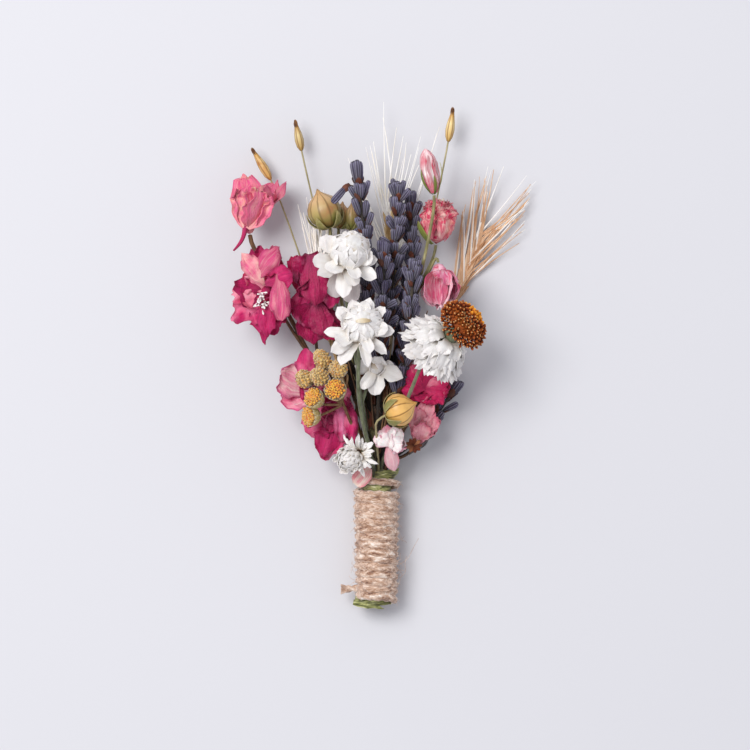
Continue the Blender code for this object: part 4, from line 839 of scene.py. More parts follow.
petalFinishes = {look["name"]: petalMaterial(look) for look in (
    petalLook("cupPetal", "f0a0a4", "ec7298", "d03a78", "f6d4ac", "c0386c", "f6d0a8", veins=0.26, rim=0.45,
              patchFrom=1.04),
    petalLook("magentaPetal", "a83460", "c42464", "ae1c58", "8c1448", "8c1044", "e87c9c", veins=0.5),
    petalLook("blushPetal", "cc5c78", "d84c80", "bc2c68", "f2c4b4", "9c1c54", "f0bcb0", veins=0.34, rim=0.55,
              patchFrom=1.06),
    petalLook("crimsonPetal", "a4345e", "b21c56", "961044", "6c0c32", "78103a", "d4749a", veins=0.5, roughness=0.42,
              bump=1.0),
    petalLook("palePinkPetal", "dc8ca0", "e890a6", "cc5484", "fbe6d8", "b83070", "d85c86", veins=0.55, rim=0.85),
    petalLook("salmonPetal", "ec9aa6", "f8aeb6", "e87c94", "d85c80", "d45878", "fce6da", veins=0.45, patchFrom=0.9),
    petalLook("raspberryPetal", "bc3460", "d42462", "c01c56", "98144a", "980e40", "f096a8", veins=0.5),
    petalLook("whitePinkPetal", "f2e0dc", "fbf4f0", "f2d0d6", "e8a4b8", "e08cac", "c43a68", veins=0.25, rim=0.3,
              patchFrom=1.04),
    petalLook("stripedPetal", "e08a8c", "f07c8c", "f8dccc", "fbeedc", "d86278", "f0b0a8", veins=0.9,
              veinScale=(0.8, 20, 1)),
    petalLook("hangingPetal", "c82c50", "e86c94", "f2b0c2", "fae4ea", "cc4c78", "fbf4f2", veins=0.6,
              patchFrom=0.96),
    petalLook("budPetal", "cc6878", "fbeeec", "f4d4d4", "cc2a50", "b42848", "c43452", veins=0.7,
              veinScale=(0.6, 7, 1), patchFrom=0.94),
    petalLook("ballPetal", "b82c58", "d42c58", "c42454", "fbe8d6", "ac1844", "f6e6d2", veins=0.45, patchFrom=1.04),
    petalLook("spurPetal", "d86a80", "f0b4bc", "eaa0ae", "fbe4e0", "cc4870", "d05474", veins=0.5, patchFrom=1.0),
)}


def bloomPieces(bloom, outer, inner, seed, blank=None, companions=1, broad=1.1, shorter=(0.62, 0.86), ruffle=0.6,
                crumple=0.3, ragged=0.1, lift=1.2, pleat=0.7):
    draw = random.Random(seed)
    base = Vector(bloom["base"])
    facing = Vector(bloom["facing"]).normalized()
    heart = bloom["heart"]
    middle = base + facing * heart * 0.75
    pieces = [painted(lay(heartBlank, base, base + facing * heart * 1.6, heart * 0.7), outer)]
    for tip, width, sag, dish in bloom["petals"]:
        reach = Vector(tip) - middle
        for number in range(1 + companions):
            if number:
                turn = Matrix.Rotation(draw.uniform(0.15, 0.6) * draw.choice((-1, 1)), 3, facing)
                goal = middle + turn @ reach * draw.uniform(*shorter) + facing * draw.uniform(0.2, lift)
            else:
                goal = Vector(tip)
            away = (goal - middle).normalized()
            outward = (away - facing * away.dot(facing)).normalized()
            up = facing if abs(away.dot(facing)) < 0.8 else -outward
            root = middle + outward * heart * 0.4
            petal = layPetal(blank or petalBlank, root, goal, up, width * broad * (0.8 if number else 1), bow=-sag,
                             cup=dish * draw.uniform(0.8, 1.6), ruffle=ruffle, waves=draw.uniform(1.6, 3.4),
                             curl=draw.uniform(-0.6, 1.4), twist=draw.uniform(-0.4, 0.4), crumple=crumple,
                             ragged=ragged, pleat=pleat, seed=draw.random())
            pieces.append(painted(petal, inner if number else outer))
    return pieces


def makeBloom(name, node, bloom, outer, inner, slot, seed, more=(), extras=(), **changes):
    petals = bloomPieces(bloom, petalFinishes[outer], petalFinishes[inner], seed, **changes)
    for place, (finish, blank, root, tip, up, width, settings) in enumerate(more):   # petals of this bloom only
        petals.append(painted(layPetal(blank, root, tip, up, width, seed=seed + place, **settings),
                              petalFinishes[finish]))
    sheet = joined(petals[1:])
    applied(sheet, "SOLIDIFY", thickness=petalShape["thickness"], offset=0)
    finished(name, [sheet, petals[0], *extras], slot, node)


def makeLarkspurs():
    tendril = tube([([Vector((-35.8, 109.4, 13.0)), Vector((-36.6, 106.6, 14.2)), Vector((-37.0, 104.0, 14.0)),
                      Vector((-38.2, 101.6, 15.0)), Vector((-39.9, 99.9, 15.4))], [1.1, 0.8, 0.6, 0.5, 0.25])], 6)
    wavy = {"bow": -1.4, "cup": 0.7, "ruffle": 0.8, "curl": 1.6, "crumple": 0.2, "pleat": 0.3, "ragged": 0.14}
    cupFront = [("cupPetal", roundPetalBlank, (-36.4, 106.4, 14.6), tip, (0, 0.2, 1), width, wavy)
                for tip, width in (((-38.0, 118.0, 16.4), 6.6), ((-34.4, 118.8, 18.0), 7.4),
                                   ((-29.8, 116.6, 17.0), 7.6))]
    makeBloom("larkspurTopLeft", "larkspur_bloom_top_left", topLeftBloom, "cupPetal", "cupPetal",
              "larkspur_petal", 100, extras=[painted(tendril, petalFinishes["magentaPetal"])], blank=roundPetalBlank,
              more=cupFront, broad=1.3, ruffle=0.7, crumple=0.2, shorter=(0.84, 0.98), pleat=0.3)
    spur = tube([([Vector((-31.2, 89.6, 15.0)), Vector((-32.0, 91.0, 10.0)), Vector((-33.2, 93.6, 5.0)),
                   Vector((-34.0, 95.0, 0.9))], [1.2, 1.1, 0.9, 0.6])], 8)
    draw = random.Random(9)
    stamens = []
    for number in range(26):
        root = Vector((-31.6 + draw.uniform(-1.0, 1.0), 86.2 + draw.uniform(-2.6, 2.2), 18.4))
        end = root + Vector((draw.uniform(-1.6, 1.6), draw.uniform(-2.0, 1.4), draw.uniform(2.4, 4.4)))
        stamens.append(([root, root.lerp(end, 0.6) + Vector((0, 0, 0.4)), end, end + (end - root) * 0.12],
                        [0.14, 0.12, 0.34, 0.18]))
    stamenTube = tube(stamens, 6)
    soft = {"bow": 0.9, "cup": -0.9, "ruffle": 0.6, "crumple": 0.5, "pleat": 0.9, "ragged": 0.1}
    leftFront = [("magentaPetal", petalBlank, (-31.0, 90.6, 20.0), (-22.6, 93.8, 23.0), (0, 0.1, 1), 7.0, soft),
                 ("blushPetal", petalBlank, (-34.0, 91.6, 19.0), (-26.8, 101.4, 23.0), (-0.1, 0, 1), 6.0, soft),
                 ("blushPetal", petalBlank, (-31.4, 90.4, 19.0), (-37.4, 99.6, 21.6), (0, 0, 1), 5.6, soft),
                 ("blushPetal", petalBlank, (-27.4, 93.4, 22.0), (-26.6, 79.6, 24.0), (0.3, 0, 1), 6.6, soft),
                 ("magentaPetal", petalBlank, (-30.6, 87.0, 19.0), (-30.4, 75.6, 21.0), (0, 0.1, 1), 5.6, soft)]
    makeBloom("larkspurLeft", "larkspur_bloom_left", leftBloom, "magentaPetal", "raspberryPetal", "larkspur_petal",
              120, more=leftFront,
              extras=[painted(spur, petalFinishes["magentaPetal"]), painted(stamenTube, creamHair)],
              blank=lobedPetalBlank, broad=1.2, ruffle=1.0, shorter=(0.7, 0.92), lift=2.6, ragged=0.22, pleat=1.3)
    middleFront = [("crimsonPetal", petalBlank, (-18.4, 98.6, 21.0), (-16.6, 84.0, 23.6), (-0.2, 0, 1), 8.0, soft),
                   ("magentaPetal", petalBlank, (-14.4, 97.0, 18.6), (-12.4, 83.0, 20.0), (0.2, 0, 1), 6.4, soft),
                   ("crimsonPetal", petalBlank, (-17.0, 86.6, 20.4), (-14.4, 75.6, 20.0), (0, 0, 1), 7.0, soft),
                   ("raspberryPetal", petalBlank, (-16.0, 81.0, 17.0), (-10.8, 75.0, 17.6), (0, 0, 1), 5.4, soft),
                   ("raspberryPetal", petalBlank, (-19.4, 86.0, 15.0), (-23.6, 99.4, 17.0), (0, 0, 1), 6.0, soft),
                   ("magentaPetal", petalBlank, (-19.0, 92.0, 15.0), (-22.4, 80.0, 16.0), (0, 0, 1), 6.0, soft)]
    makeBloom("larkspurMiddleLeft", "larkspur_bloom_middle_left", middleLeftBloom, "crimsonPetal",
              "crimsonPetal", "larkspur_petal", 140, more=middleFront, broad=1.3, lift=1.6, pleat=1.0)
    lens = ("magentaPetal", petalBlank, (-19.8, 61.6, 15.4), (-19.4, 72.8, 16.6), (-0.4, 0, 1), 5.4,
            {"bow": 1.0, "cup": -1.0, "ruffle": 0.4, "pleat": 0.8, "crumple": 0.3})
    makeBloom("larkspurLowLeft", "larkspur_bloom_low_left", lowLeftBloom, "palePinkPetal", "magentaPetal",
              "pale_petal", 160, more=[lens], ruffle=0.7, ragged=0.14, companions=1, shorter=(0.4, 0.6), lift=0.6,
              pleat=0.5)
    deep = {**soft, "bow": 0.6, "pleat": 1.6}
    lowFront = [("magentaPetal", petalBlank, (-11.0, 54.0, 12.0), (-21.4, 51.0, 12.8), (0, 0, 1), 9.6, deep),
                ("magentaPetal", lobedPetalBlank, (-12.6, 54.0, 12.8), (-15.0, 41.4, 13.4), (-0.2, 0, 1), 8.0, deep),
                ("crimsonPetal", petalBlank, (-10.4, 58.6, 14.0), (-9.6, 46.0, 15.0), (0.3, 0, 1), 5.0, soft),
                ("magentaPetal", petalBlank, (-7.6, 57.6, 14.0), (-6.8, 46.6, 15.0), (0.3, 0, 1), 4.6, soft)]
    makeBloom("larkspurLow", "larkspur_bloom_low", lowBloom, "magentaPetal", "crimsonPetal", "larkspur_petal", 180,
              blank=lobedPetalBlank, more=lowFront, broad=1.2, ruffle=0.8, crumple=0.4, lift=1.6, pleat=0.9)
    rightFront = [("raspberryPetal", petalBlank, (13.4, 61.4, 14.2), tip, (0, 0, 1), 6.0, soft)
                  for tip in ((6.6, 62.4, 14.4), (9.4, 68.6, 15.4), (14.8, 69.2, 16.0), (20.6, 65.6, 15.6),
                              (20.4, 60.2, 14.8))]
    makeBloom("larkspurRight", "larkspur_bloom_right", rightBloom, "raspberryPetal", "raspberryPetal",
              "larkspur_petal", 200, more=rightFront, broad=1.35, pleat=0.9)
    frills = {"bow": 0.6, "cup": 0.8, "ruffle": 0.7, "crumple": 0.2, "pleat": 0.4, "ragged": 0.16}
    lowRightFront = [("salmonPetal", roundPetalBlank, (12.0, 47.4, 12.0), tip, (0, 0, 1), 5.0, frills)
                     for tip in ((11.0, 57.0, 14.6), (14.6, 59.6, 14.4), (16.8, 54.4, 14.2), (13.4, 52.4, 15.8))]
    makeBloom("larkspurLowRight", "larkspur_bloom_low_right", lowRightBloom, "salmonPetal", "salmonPetal",
              "pale_petal", 220, more=lowRightFront, broad=1.3, ragged=0.16)
    tubePetal = ("spurPetal", petalBlank, (3.0, 46.8, 16.0), (4.9, 38.6, 13.0), (0.2, -0.2, 1), 4.2,
                 {"bow": 0.9, "cup": -0.9, "pleat": 0.4})
    whitePetals = [("whitePinkPetal", petalBlank, (3.6, 45.6, 16.4), tip, (0, 0, 1), 4.8,
                    {"bow": 0.6, "cup": 0.6, "ruffle": 0.5, "crumple": 0.2, "ragged": 0.12})
                   for tip in ((-0.6, 48.6, 17.6), (2.6, 51.4, 17.0), (7.6, 46.2, 18.0), (6.8, 50.6, 17.0))]
    makeBloom("larkspurFront", "larkspur_bloom_front", frontBloom, "whitePinkPetal", "whitePinkPetal",
              "pale_petal", 240, more=[tubePetal] + whitePetals, companions=0, ragged=0.16, ruffle=0.5, crumple=0.2,
              pleat=0.3)
    loose = layPetal(roundPetalBlank, (-1.9, 39.4, 13.4), (-5.9, 34.6, 12.0), (-0.4, -0.3, 1), 4.8, bow=0.4,
                     cup=-0.5, ruffle=0.25, crumple=0.12, tone=0.3, seed=4)
    applied(loose, "SOLIDIFY", thickness=0.2, offset=0)
    finished("larkspurPetalLoose", [painted(loose, petalFinishes["stripedPetal"])], "pale_petal",
             "larkspur_petal_loose")
    print("larkspurs made")

    routes = {}
    for name, slot, bloom, radius, below in (("left", "larkspur_left", topLeftBloom, 0.6, None),
                                             ("low", "larkspur_low", lowLeftBloom, 0.6, None),
                                             ("right", "larkspur_right", rightBloom, 0.6, None),
                                             ("front", "larkspur_front", frontBloom, 0.45, 0.8)):
        routes[name] = [stemTo(slots[slot], bloom["base"], bloom["facing"], radius, below)]
    for name, bloom, y in (("left", leftBloom, 70), ("left", middleLeftBloom, 66), ("left", lowBloom, 45),
                           ("right", lowRightBloom, 41)):
        start = placeOn(routes[name][0][0], y)
        routes[name].append(branchTo(start, bloom["base"], bloom["facing"], 0.45))
    for name, stems in routes.items():
        stalk = tube(stems, 10)
        roughen(stalk, 0.06, 1.6, 11)
        finished("larkspurStem_" + name, [painted(stalk, brownBark)], "dry_stem", "larkspur_stem_" + name)


# Papery heads: everlastings and the daisy

paperLook = {"thickness": 0.14}
bractShape = [(0, 0.5), (0.3, 0.86), (0.55, 1.0), (0.76, 0.86), (0.9, 0.5), (1, 0.06)]
broadShape = [(0, 0.6), (0.3, 0.9), (0.6, 1.0), (0.84, 0.9), (0.95, 0.64), (1, 0.3)]
broadBractBlank = flatBlank("broadBractBlank", 10, 6, broadShape)
ovalBractBlank = flatBlank("ovalBractBlank", 10, 6, bractShape)
strapBlank = flatBlank("strapBlank", 10, 6, [(0, 0.6), (0.3, 0.85), (0.7, 1.0), (0.88, 0.76), (0.96, 0.46), (1, 0.1)])
raggedBlank = flatBlank("raggedBlank", 12, 8, [(0, 0.5), (0.3, 0.8), (0.6, 1.0), (0.82, 0.92), (0.94, 0.66),
                                               (1, 0.4)])
domeBlank = turnedBlank("domeBlank", 20, [(0, 0), (0.06, 0.35), (0.16, 0.66), (0.35, 0.92), (0.55, 1.0), (0.75, 0.86),
                                          (0.9, 0.5), (1, 0)])


def paperMaterial(look):
    # everlasting bract: dry, glossy parchment with fine lengthwise fibres, thin enough to glow a little
    made, tree, shader = startMaterial(look["name"], {"Roughness": 0.42, "IOR": 1.5, "Sheen Weight": 0.2,
                                                      "Subsurface Weight": 0.2, "Subsurface Scale": 0.6 * mm})
    shader.inputs["Subsurface Radius"].default_value = (1.0, 0.9, 0.8)
    spots = addNode(tree, "ShaderNodeTexCoord", {}, {})
    split = addNode(tree, "ShaderNodeSeparateXYZ", {}, {0: (spots, "UV")})
    tone = addNode(tree, "ShaderNodeAttribute", {"attribute_name": "tone"}, {})
    lengthways = addNode(tree, "ShaderNodeValToRGB", {"stops": look["along"]}, {0: (split, "X")})
    fibreSpace = addNode(tree, "ShaderNodeMapping", {"Scale": (1.0, 22, 1)}, {0: (spots, "UV")})
    fibres = addNode(tree, "ShaderNodeTexNoise", {"Scale": 1.0, "Detail": 3, "Distortion": 0.2},
                     {"Vector": (fibreSpace, 0)})
    streaks = addNode(tree, "ShaderNodeMapRange", {"From Min": 0.42, "From Max": 0.66, "To Max": look["streaks"]},
                      {"Value": (fibres, "Fac")})
    streaked = addNode(tree, "ShaderNodeMix", {"data_type": "RGBA", 7: linear(look["streak"])},
                       {0: (streaks, 0), 6: (lengthways, 0)})
    shade = addNode(tree, "ShaderNodeMapRange", {"To Min": look["darkest"], "To Max": 1.04}, {"Value": (tone, "Fac")})
    shaded = addNode(tree, "ShaderNodeHueSaturation", {}, {"Value": (shade, 0), "Color": (streaked, 2)})
    tree.links.new(shaded.outputs[0], shader.inputs["Base Color"])
    bump = addNode(tree, "ShaderNodeBump", {"Strength": 0.35, "Distance": 0.2 * mm}, {"Height": (fibres, "Fac")})
    tree.links.new(bump.outputs[0], shader.inputs["Normal"])
    return made


whitePaper = paperMaterial({"name": "whiteBract", "along": [(0, "b8a284"), (0.2, "e6ded2"), (0.5, "f4f1ec"),
                                                             (1, "f0eae7")], "streak": "dcd2ca",
                            "streaks": 0.45, "darkest": 0.84})
greyPaper = paperMaterial({"name": "greyBract", "along": [(0, "a89a86"), (0.3, "d2c8c0"), (0.7, "e2dad6"),
                                                           (1, "d8cccc")], "streak": "b8a8a8",
                           "streaks": 0.4, "darkest": 0.84})
tanPaper = paperMaterial({"name": "tanBract", "along": [(0, "a58a60"), (0.4, "d8c6a4"), (0.8, "eee2cc"),
                                                         (1, "dcc6a0")], "streak": "c0a47c",
                          "streaks": 0.4, "darkest": 0.86})


def hug(centre, facing, side, other, wide, tall, angle, low, high):   # root, tip and out on a dome
    def onDome(share):
        away = side * math.cos(angle) + other * math.sin(angle)
        swell = math.sin(math.pi * min(1, 0.15 + 0.85 * share)) ** 0.6
        return centre + facing * tall * share + away * wide * swell, away
    root, away = onDome(low)
    tip, away = onDome(high)
    return root, tip, (away + facing * (low + high) * 0.4).normalized()


def everlastingPieces(head, seed, look):
    draw = random.Random(seed)
    facing = Vector(head["facing"]).normalized()
    middle = Vector(head["middle"])
    side = facing.cross(Vector((0, 1, 0))).normalized()
    other = facing.cross(side)
    dome = head["dome"] * look["domeSize"]
    shift = Vector(look["shift"])
    cup = middle - facing * cupDepth
    core = lay(domeBlank, cup + shift * 0.6, middle + facing * dome * 1.1 + shift, dome * 0.86, tone=0.3)
    sheets = []
    for ring, count in ((0, head["bracts"]), (1, head["inner"])):
        for place in range(count):
            angle = 2 * math.pi * (place + 0.5 * ring) / count + draw.uniform(-0.16, 0.16)
            away = side * math.cos(angle) + other * math.sin(angle)
            reach = head["radius"] * (1.02 - 0.24 * ring) * draw.uniform(0.86, 1.1)
            reach *= 1 + look["longBelow"] * max(0, -away.y) - look["shortAbove"] * max(0, away.y)
            layer = 2 * ring + place % 2
            root = middle + away * dome * 0.45 + facing * (-0.9, -0.1, 0.6, 1.4)[layer] + shift * 0.3 * ring
            tip = middle + away * reach + facing * head["radius"] * (0.04, 0.2, 0.46, 0.62)[layer]
            for copy in range(look["copies"]):
                spread = Matrix.Rotation(copy * look["spread"] + draw.uniform(-0.06, 0.06), 3, facing)
                goal = middle + spread @ (tip - middle) * (1 if copy == 0 else draw.uniform(0.66, 0.92))
                start = middle + spread @ (root - middle) + facing * 0.35 * copy
                wide = look["width"] * draw.uniform(0.75, 1.2)
                sheets.append(painted(layPetal(look["blank"], start, goal, facing, wide, bow=0.5 - 0.5 * ring,
                                               cup=draw.uniform(-0.4, 1.1), ruffle=0.25, curl=draw.uniform(-0.6, 1.0),
                                               twist=draw.uniform(-0.4, 0.4), ragged=look["ragged"],
                                               pleat=look["pleat"],
                                               seed=draw.random()), look["outer"]))
    for place in range(look["domeBracts"]):
        share = place / look["domeBracts"]
        low = 0.08 + 0.36 * share
        high = min(0.76 + 0.34 * share, 0.995)
        root, tip, out = hug(cup + facing * 1.0 + shift * (0.7 + 0.3 * share), facing, side, other, dome * 0.98,
                             dome * 1.5, 2.4 * place, low, high)
        tip += out * look["opening"] * draw.uniform(0.4, 1.2) * (1 - share)
        sheets.append(painted(layPetal(broadBractBlank, root, tip, out, look["domeWidth"] * (1.1 - 0.35 * share),
                                       bow=dome * 0.2, cup=-dome * 0.2, ruffle=0.12, curl=look["opening"] * 0.3,
                                       tone=draw.uniform(0.3, 1), seed=draw.random()), look["inner"]))
    pole = cup + facing * (1.1 + dome * 1.5) + shift
    for cap in range(look["caps"]):      # small bracts folded over the middle of the dome
        away = side * math.cos(2.1 * cap) + other * math.sin(2.1 * cap)
        sheets.append(painted(layPetal(broadBractBlank, pole - away * dome * 0.5 - facing * 0.9,
                                       pole + away * dome * 0.34 - facing * (0.5 - 0.1 * cap), facing, dome * 0.8,
                                       bow=0.7, cup=-0.5, ruffle=0.12, seed=draw.random()), look["inner"]))
    if look["slit"]:      # the closed dome shows its tan inside at a narrow mouth
        sheets.append(painted(layPetal(ovalBractBlank, pole - side * 2.0 + other * 1.0 + facing * 0.3,
                                       pole + side * 2.0 + other * 1.2 + facing * 0.3, facing, 1.5, bow=0.3,
                                       ruffle=0.2, seed=2), tanPaper))
    sheet = joined(sheets)
    applied(sheet, "SOLIDIFY", thickness=paperLook["thickness"], offset=0)
    return [sheet, painted(core, look["core"])]


def makeEverlastings():
    shared = {"copies": 1, "spread": 0.34, "width": 4.8, "ragged": 0.06, "blank": strapBlank, "domeSize": 1.0,
              "domeBracts": 18, "domeWidth": 6.0, "opening": 0.5, "shift": (0, 0, 0), "longBelow": 0.0,
              "shortAbove": 0.0, "pleat": 0.4, "caps": 0, "slit": False, "outer": whitePaper, "inner": whitePaper,
              "core": whitePaper}
    looks = {
        "upper": {"width": 4.6, "domeSize": 1.14, "domeWidth": 8.0, "shift": (1.4, 2.6, 0.0),
                  "longBelow": 0.1, "shortAbove": 0.1, "opening": 0.3, "caps": 3},
        "middle": {"width": 3.8, "domeSize": 1.04, "domeWidth": 9.4, "opening": 0.0, "shift": (0.8, 2.2, -0.4),
                   "longBelow": 0.1, "caps": 4, "slit": True},
        "back": {"width": 4.4, "ragged": 0.1, "domeBracts": 5, "domeWidth": 3.0, "longBelow": 0.4, "pleat": 1.1,
                 "shortAbove": 0.5, "blank": ovalBractBlank},
        "small": {"copies": 3, "spread": 0.3, "width": 1.4, "domeSize": 1.35, "domeBracts": 46, "domeWidth": 1.5,
                  "opening": 1.8, "shift": (-2.6, -1.4, -1.6), "ragged": 0.1},
    }
    heads = {"upper": (upperEverlasting, 11), "middle": (middleEverlasting, 12), "back": (backEverlasting, 13),
             "small": (smallEverlasting, 14)}
    for name, (head, seed) in heads.items():
        pieces = everlastingPieces(head, seed, {**shared, **looks[name]})
        if name == "upper":      # two long grey bracts hang below this head
            hanging = [layPetal(broadBractBlank, root, tip, (0, 0, 1), 5.2, bow=0.8, cup=0.7, ruffle=0.3, pleat=0.3,
                                seed=place)
                       for place, (root, tip) in enumerate((((-9.6, 95.6, 24.6), (-12.0, 87.0, 22.0)),
                                                            ((-7.4, 94.8, 25.0), (-7.0, 85.4, 22.6))))]
            sheet = joined(hanging)
            applied(sheet, "SOLIDIFY", thickness=paperLook["thickness"], offset=0)
            pieces.append(painted(sheet, greyPaper))
        finished("everlasting" + name.capitalize(), pieces, "papery_bract", "everlasting_" + name)

    back = stemTo(slots["everlasting_back"], cupBack(upperEverlasting), upperEverlasting["facing"], 0.45)
    front = stemTo(slots["everlasting_front"], cupBack(middleEverlasting), middleEverlasting["facing"], 0.62,
                   bow=(-2.6, 0, 1.2))
    side = branchTo(placeOn(front[0], 56), cupBack(backEverlasting), backEverlasting["facing"], 0.45, 1.5)
    small = stemTo(slots["everlasting_small"], cupBack(smallEverlasting), smallEverlasting["facing"], 0.5, 0.8)
    for name, stems in (("back", [back]), ("front", [front, side]), ("small", [small])):
        stalk = tube(stems, 10)
        roughen(stalk, 0.05, 1.2, 12)
        finished("everlastingStem_" + name, [painted(stalk, woollyGreen)], "green_stem", "everlasting_stem_" + name)
    print("everlastings made")


daisyLook = {"layers": ((12, 1.08, 4.6, 3.8, -1.2), (12, 1.05, 4.8, 2.6, 0.4), (11, 0.99, 4.8, 1.2, 2.0),
                        (11, 0.92, 4.6, -0.2, 3.6), (8, 0.72, 4.2, -2.8, 5.4)),
             "florets": 320, "discRadius": 7.1, "discHeight": 6.2, "discShift": (2.0, 1.9, -0.9)}


def makeDaisy():
    draw = random.Random(51)
    facing = Vector(daisyHead["facing"]).normalized()
    middle = Vector(daisyHead["middle"])
    side = facing.cross(Vector((0, 0, 1))).normalized()
    other = facing.cross(side)
    back = middle - facing * daisyHead["back"]
    cup = lay(heartBlank, back, middle + facing * (daisyHead["rise"] - 0.4) + Vector(daisyLook["discShift"]), 3.0,
              tone=0.4)
    sheets = []
    for layer, (count, length, wide, drop, rise) in enumerate(daisyLook["layers"]):
        for place in range(count):
            angle = 2 * math.pi * (place + 0.33 * layer) / count + draw.uniform(-0.1, 0.1)
            away = side * math.cos(angle) + other * math.sin(angle)
            reach = daisyHead["radius"] * length * draw.uniform(0.92, 1.1)
            root = middle + away * 2.4 + facing * rise
            tip = middle + away * reach - facing * drop * draw.uniform(0.7, 1.1)
            sheets.append(layPetal(raggedBlank, root, tip, facing, wide * draw.uniform(0.8, 1.15), bow=0.9,
                                   cup=draw.uniform(-0.4, 0.6), ruffle=0.2, crumple=0.12, ragged=0.2, pleat=0.7,
                                   curl=draw.uniform(-0.5, 0.6), twist=draw.uniform(-0.4, 0.4),
                                   seed=draw.random()))
    sheet = joined(sheets)
    applied(sheet, "SOLIDIFY", thickness=paperLook["thickness"], offset=0)
    finished("daisyBracts", [painted(sheet, whitePaper), painted(cup, woollyGreen)], "papery_bract", "daisy_bracts")

    # daisy florets: waxy five-toothed tubes, red-brown with gold and cream mouths
    floretSkin, tree, shader = startMaterial("discFloret", {"Roughness": 0.7, "Specular IOR Level": 0.3})
    spots = addNode(tree, "ShaderNodeTexCoord", {}, {})
    split = addNode(tree, "ShaderNodeSeparateXYZ", {}, {0: (spots, "UV")})
    tone = addNode(tree, "ShaderNodeAttribute", {"attribute_name": "tone"}, {})
    body = addNode(tree, "ShaderNodeValToRGB", {"stops": [(0, "200a04"), (0.45, "642408"), (0.7, "a45018"),
                                                          (0.84, "bc6c20"), (0.92, "eec88c"), (1, "fae2b4")]},
                   {0: (split, "Y")})
    plain = addNode(tree, "ShaderNodeValToRGB", {"stops": [(0, "200a04"), (0.45, "642408"), (0.8, "b05a1a"),
                                                           (1, "8a3c12")]}, {0: (split, "Y")})
    creamy = addNode(tree, "ShaderNodeMath", {"operation": "LESS_THAN", 1: 0.34}, {0: (tone, "Fac")})
    tipped = addNode(tree, "ShaderNodeMix", {"data_type": "RGBA"}, {0: (creamy, 0), 6: (plain, 0), 7: (body, 0)})
    warm = addNode(tree, "ShaderNodeValToRGB", {"stops": [(0, "7c3810"), (0.4, "c4661c"), (0.7, "ee9c2c"),
                                                          (1, "f8b83c")]}, {0: (split, "Y")})
    share = addNode(tree, "ShaderNodeMapRange", {"From Min": 0.6, "From Max": 0.95}, {"Value": (tone, "Fac")})
    mixed = addNode(tree, "ShaderNodeMix", {"data_type": "RGBA"}, {0: (share, 0), 6: (tipped, 2), 7: (warm, 0)})
    tree.links.new(mixed.outputs[2], shader.inputs["Base Color"])

    foot = middle + facing * daisyHead["rise"] + Vector(daisyLook["discShift"])
    height = daisyLook["discHeight"]
    wide = daisyLook["discRadius"]
    disc = lay(domeBlank, foot - facing * 0.4, foot + facing * (height - 1.6), wide * 0.84, tone=0.2)
    florets = []
    count = daisyLook["florets"]
    for place in range(count):
        share = (place + 0.5) / count
        polar = math.acos(1 - share) * 1.02
        angle = 2.39996 * place
        away = side * math.cos(angle) + other * math.sin(angle)
        out = (facing * math.cos(polar) + away * math.sin(polar)).normalized()
        root = foot + facing * ((height - 2.2) * math.cos(polar)) + away * ((wide - 1.3) * math.sin(polar))
        lean = out + Vector([draw.uniform(-0.22, 0.22) for axis in range(3)])
        length = draw.uniform(1.5, 2.4)
        corner = out.x * 0.75 + out.y * 0.65
        tone = 0.95 if corner > 0.86 and draw.random() < 0.8 else draw.uniform(0, 0.6)
        florets.append(lay(floretBlank, root, root + lean.normalized() * length, draw.uniform(0.34, 0.47), tone=tone))
    finished("daisyDisc", [painted(joined([disc] + florets), floretSkin)], "disc_floret", "daisy_disc")
    stalk = tube([stemTo(slots["daisy"], back, facing, 0.5)], 10)
    roughen(stalk, 0.05, 1.2, 13)
    finished("daisyStem", [painted(stalk, woollyGreen)], "green_stem", "daisy_stem")
    print("daisy made")


floretBlank = turnedBlank("floretBlank", 10, [(0, 0), (0.1, 0.5), (0.5, 0.7), (0.76, 1.0), (0.86, 0.62), (0.92, 0.5),
                                              (1.0, 0)], ribs=5, ribDepth=0.22)


# Lavender

lavenderLook = {"calyx": 5.0, "wide": 0.88, "perWhorl": 6, "splay": (0.14, 0.5), "spacing": 3.9, "lowest": 60,
                "missing": 0.12, "thin": {"lavender_6": 3}}
calyxBlank = turnedBlank("calyxBlank", 16, [(0, 0), (0.04, 0.45), (0.2, 0.76), (0.5, 0.95), (0.78, 0.98), (0.9, 0.86),
                                            (0.97, 0.62), (1.0, 0.36), (0.93, 0.16), (0.8, 0)], ribs=8, ribDepth=0.09)


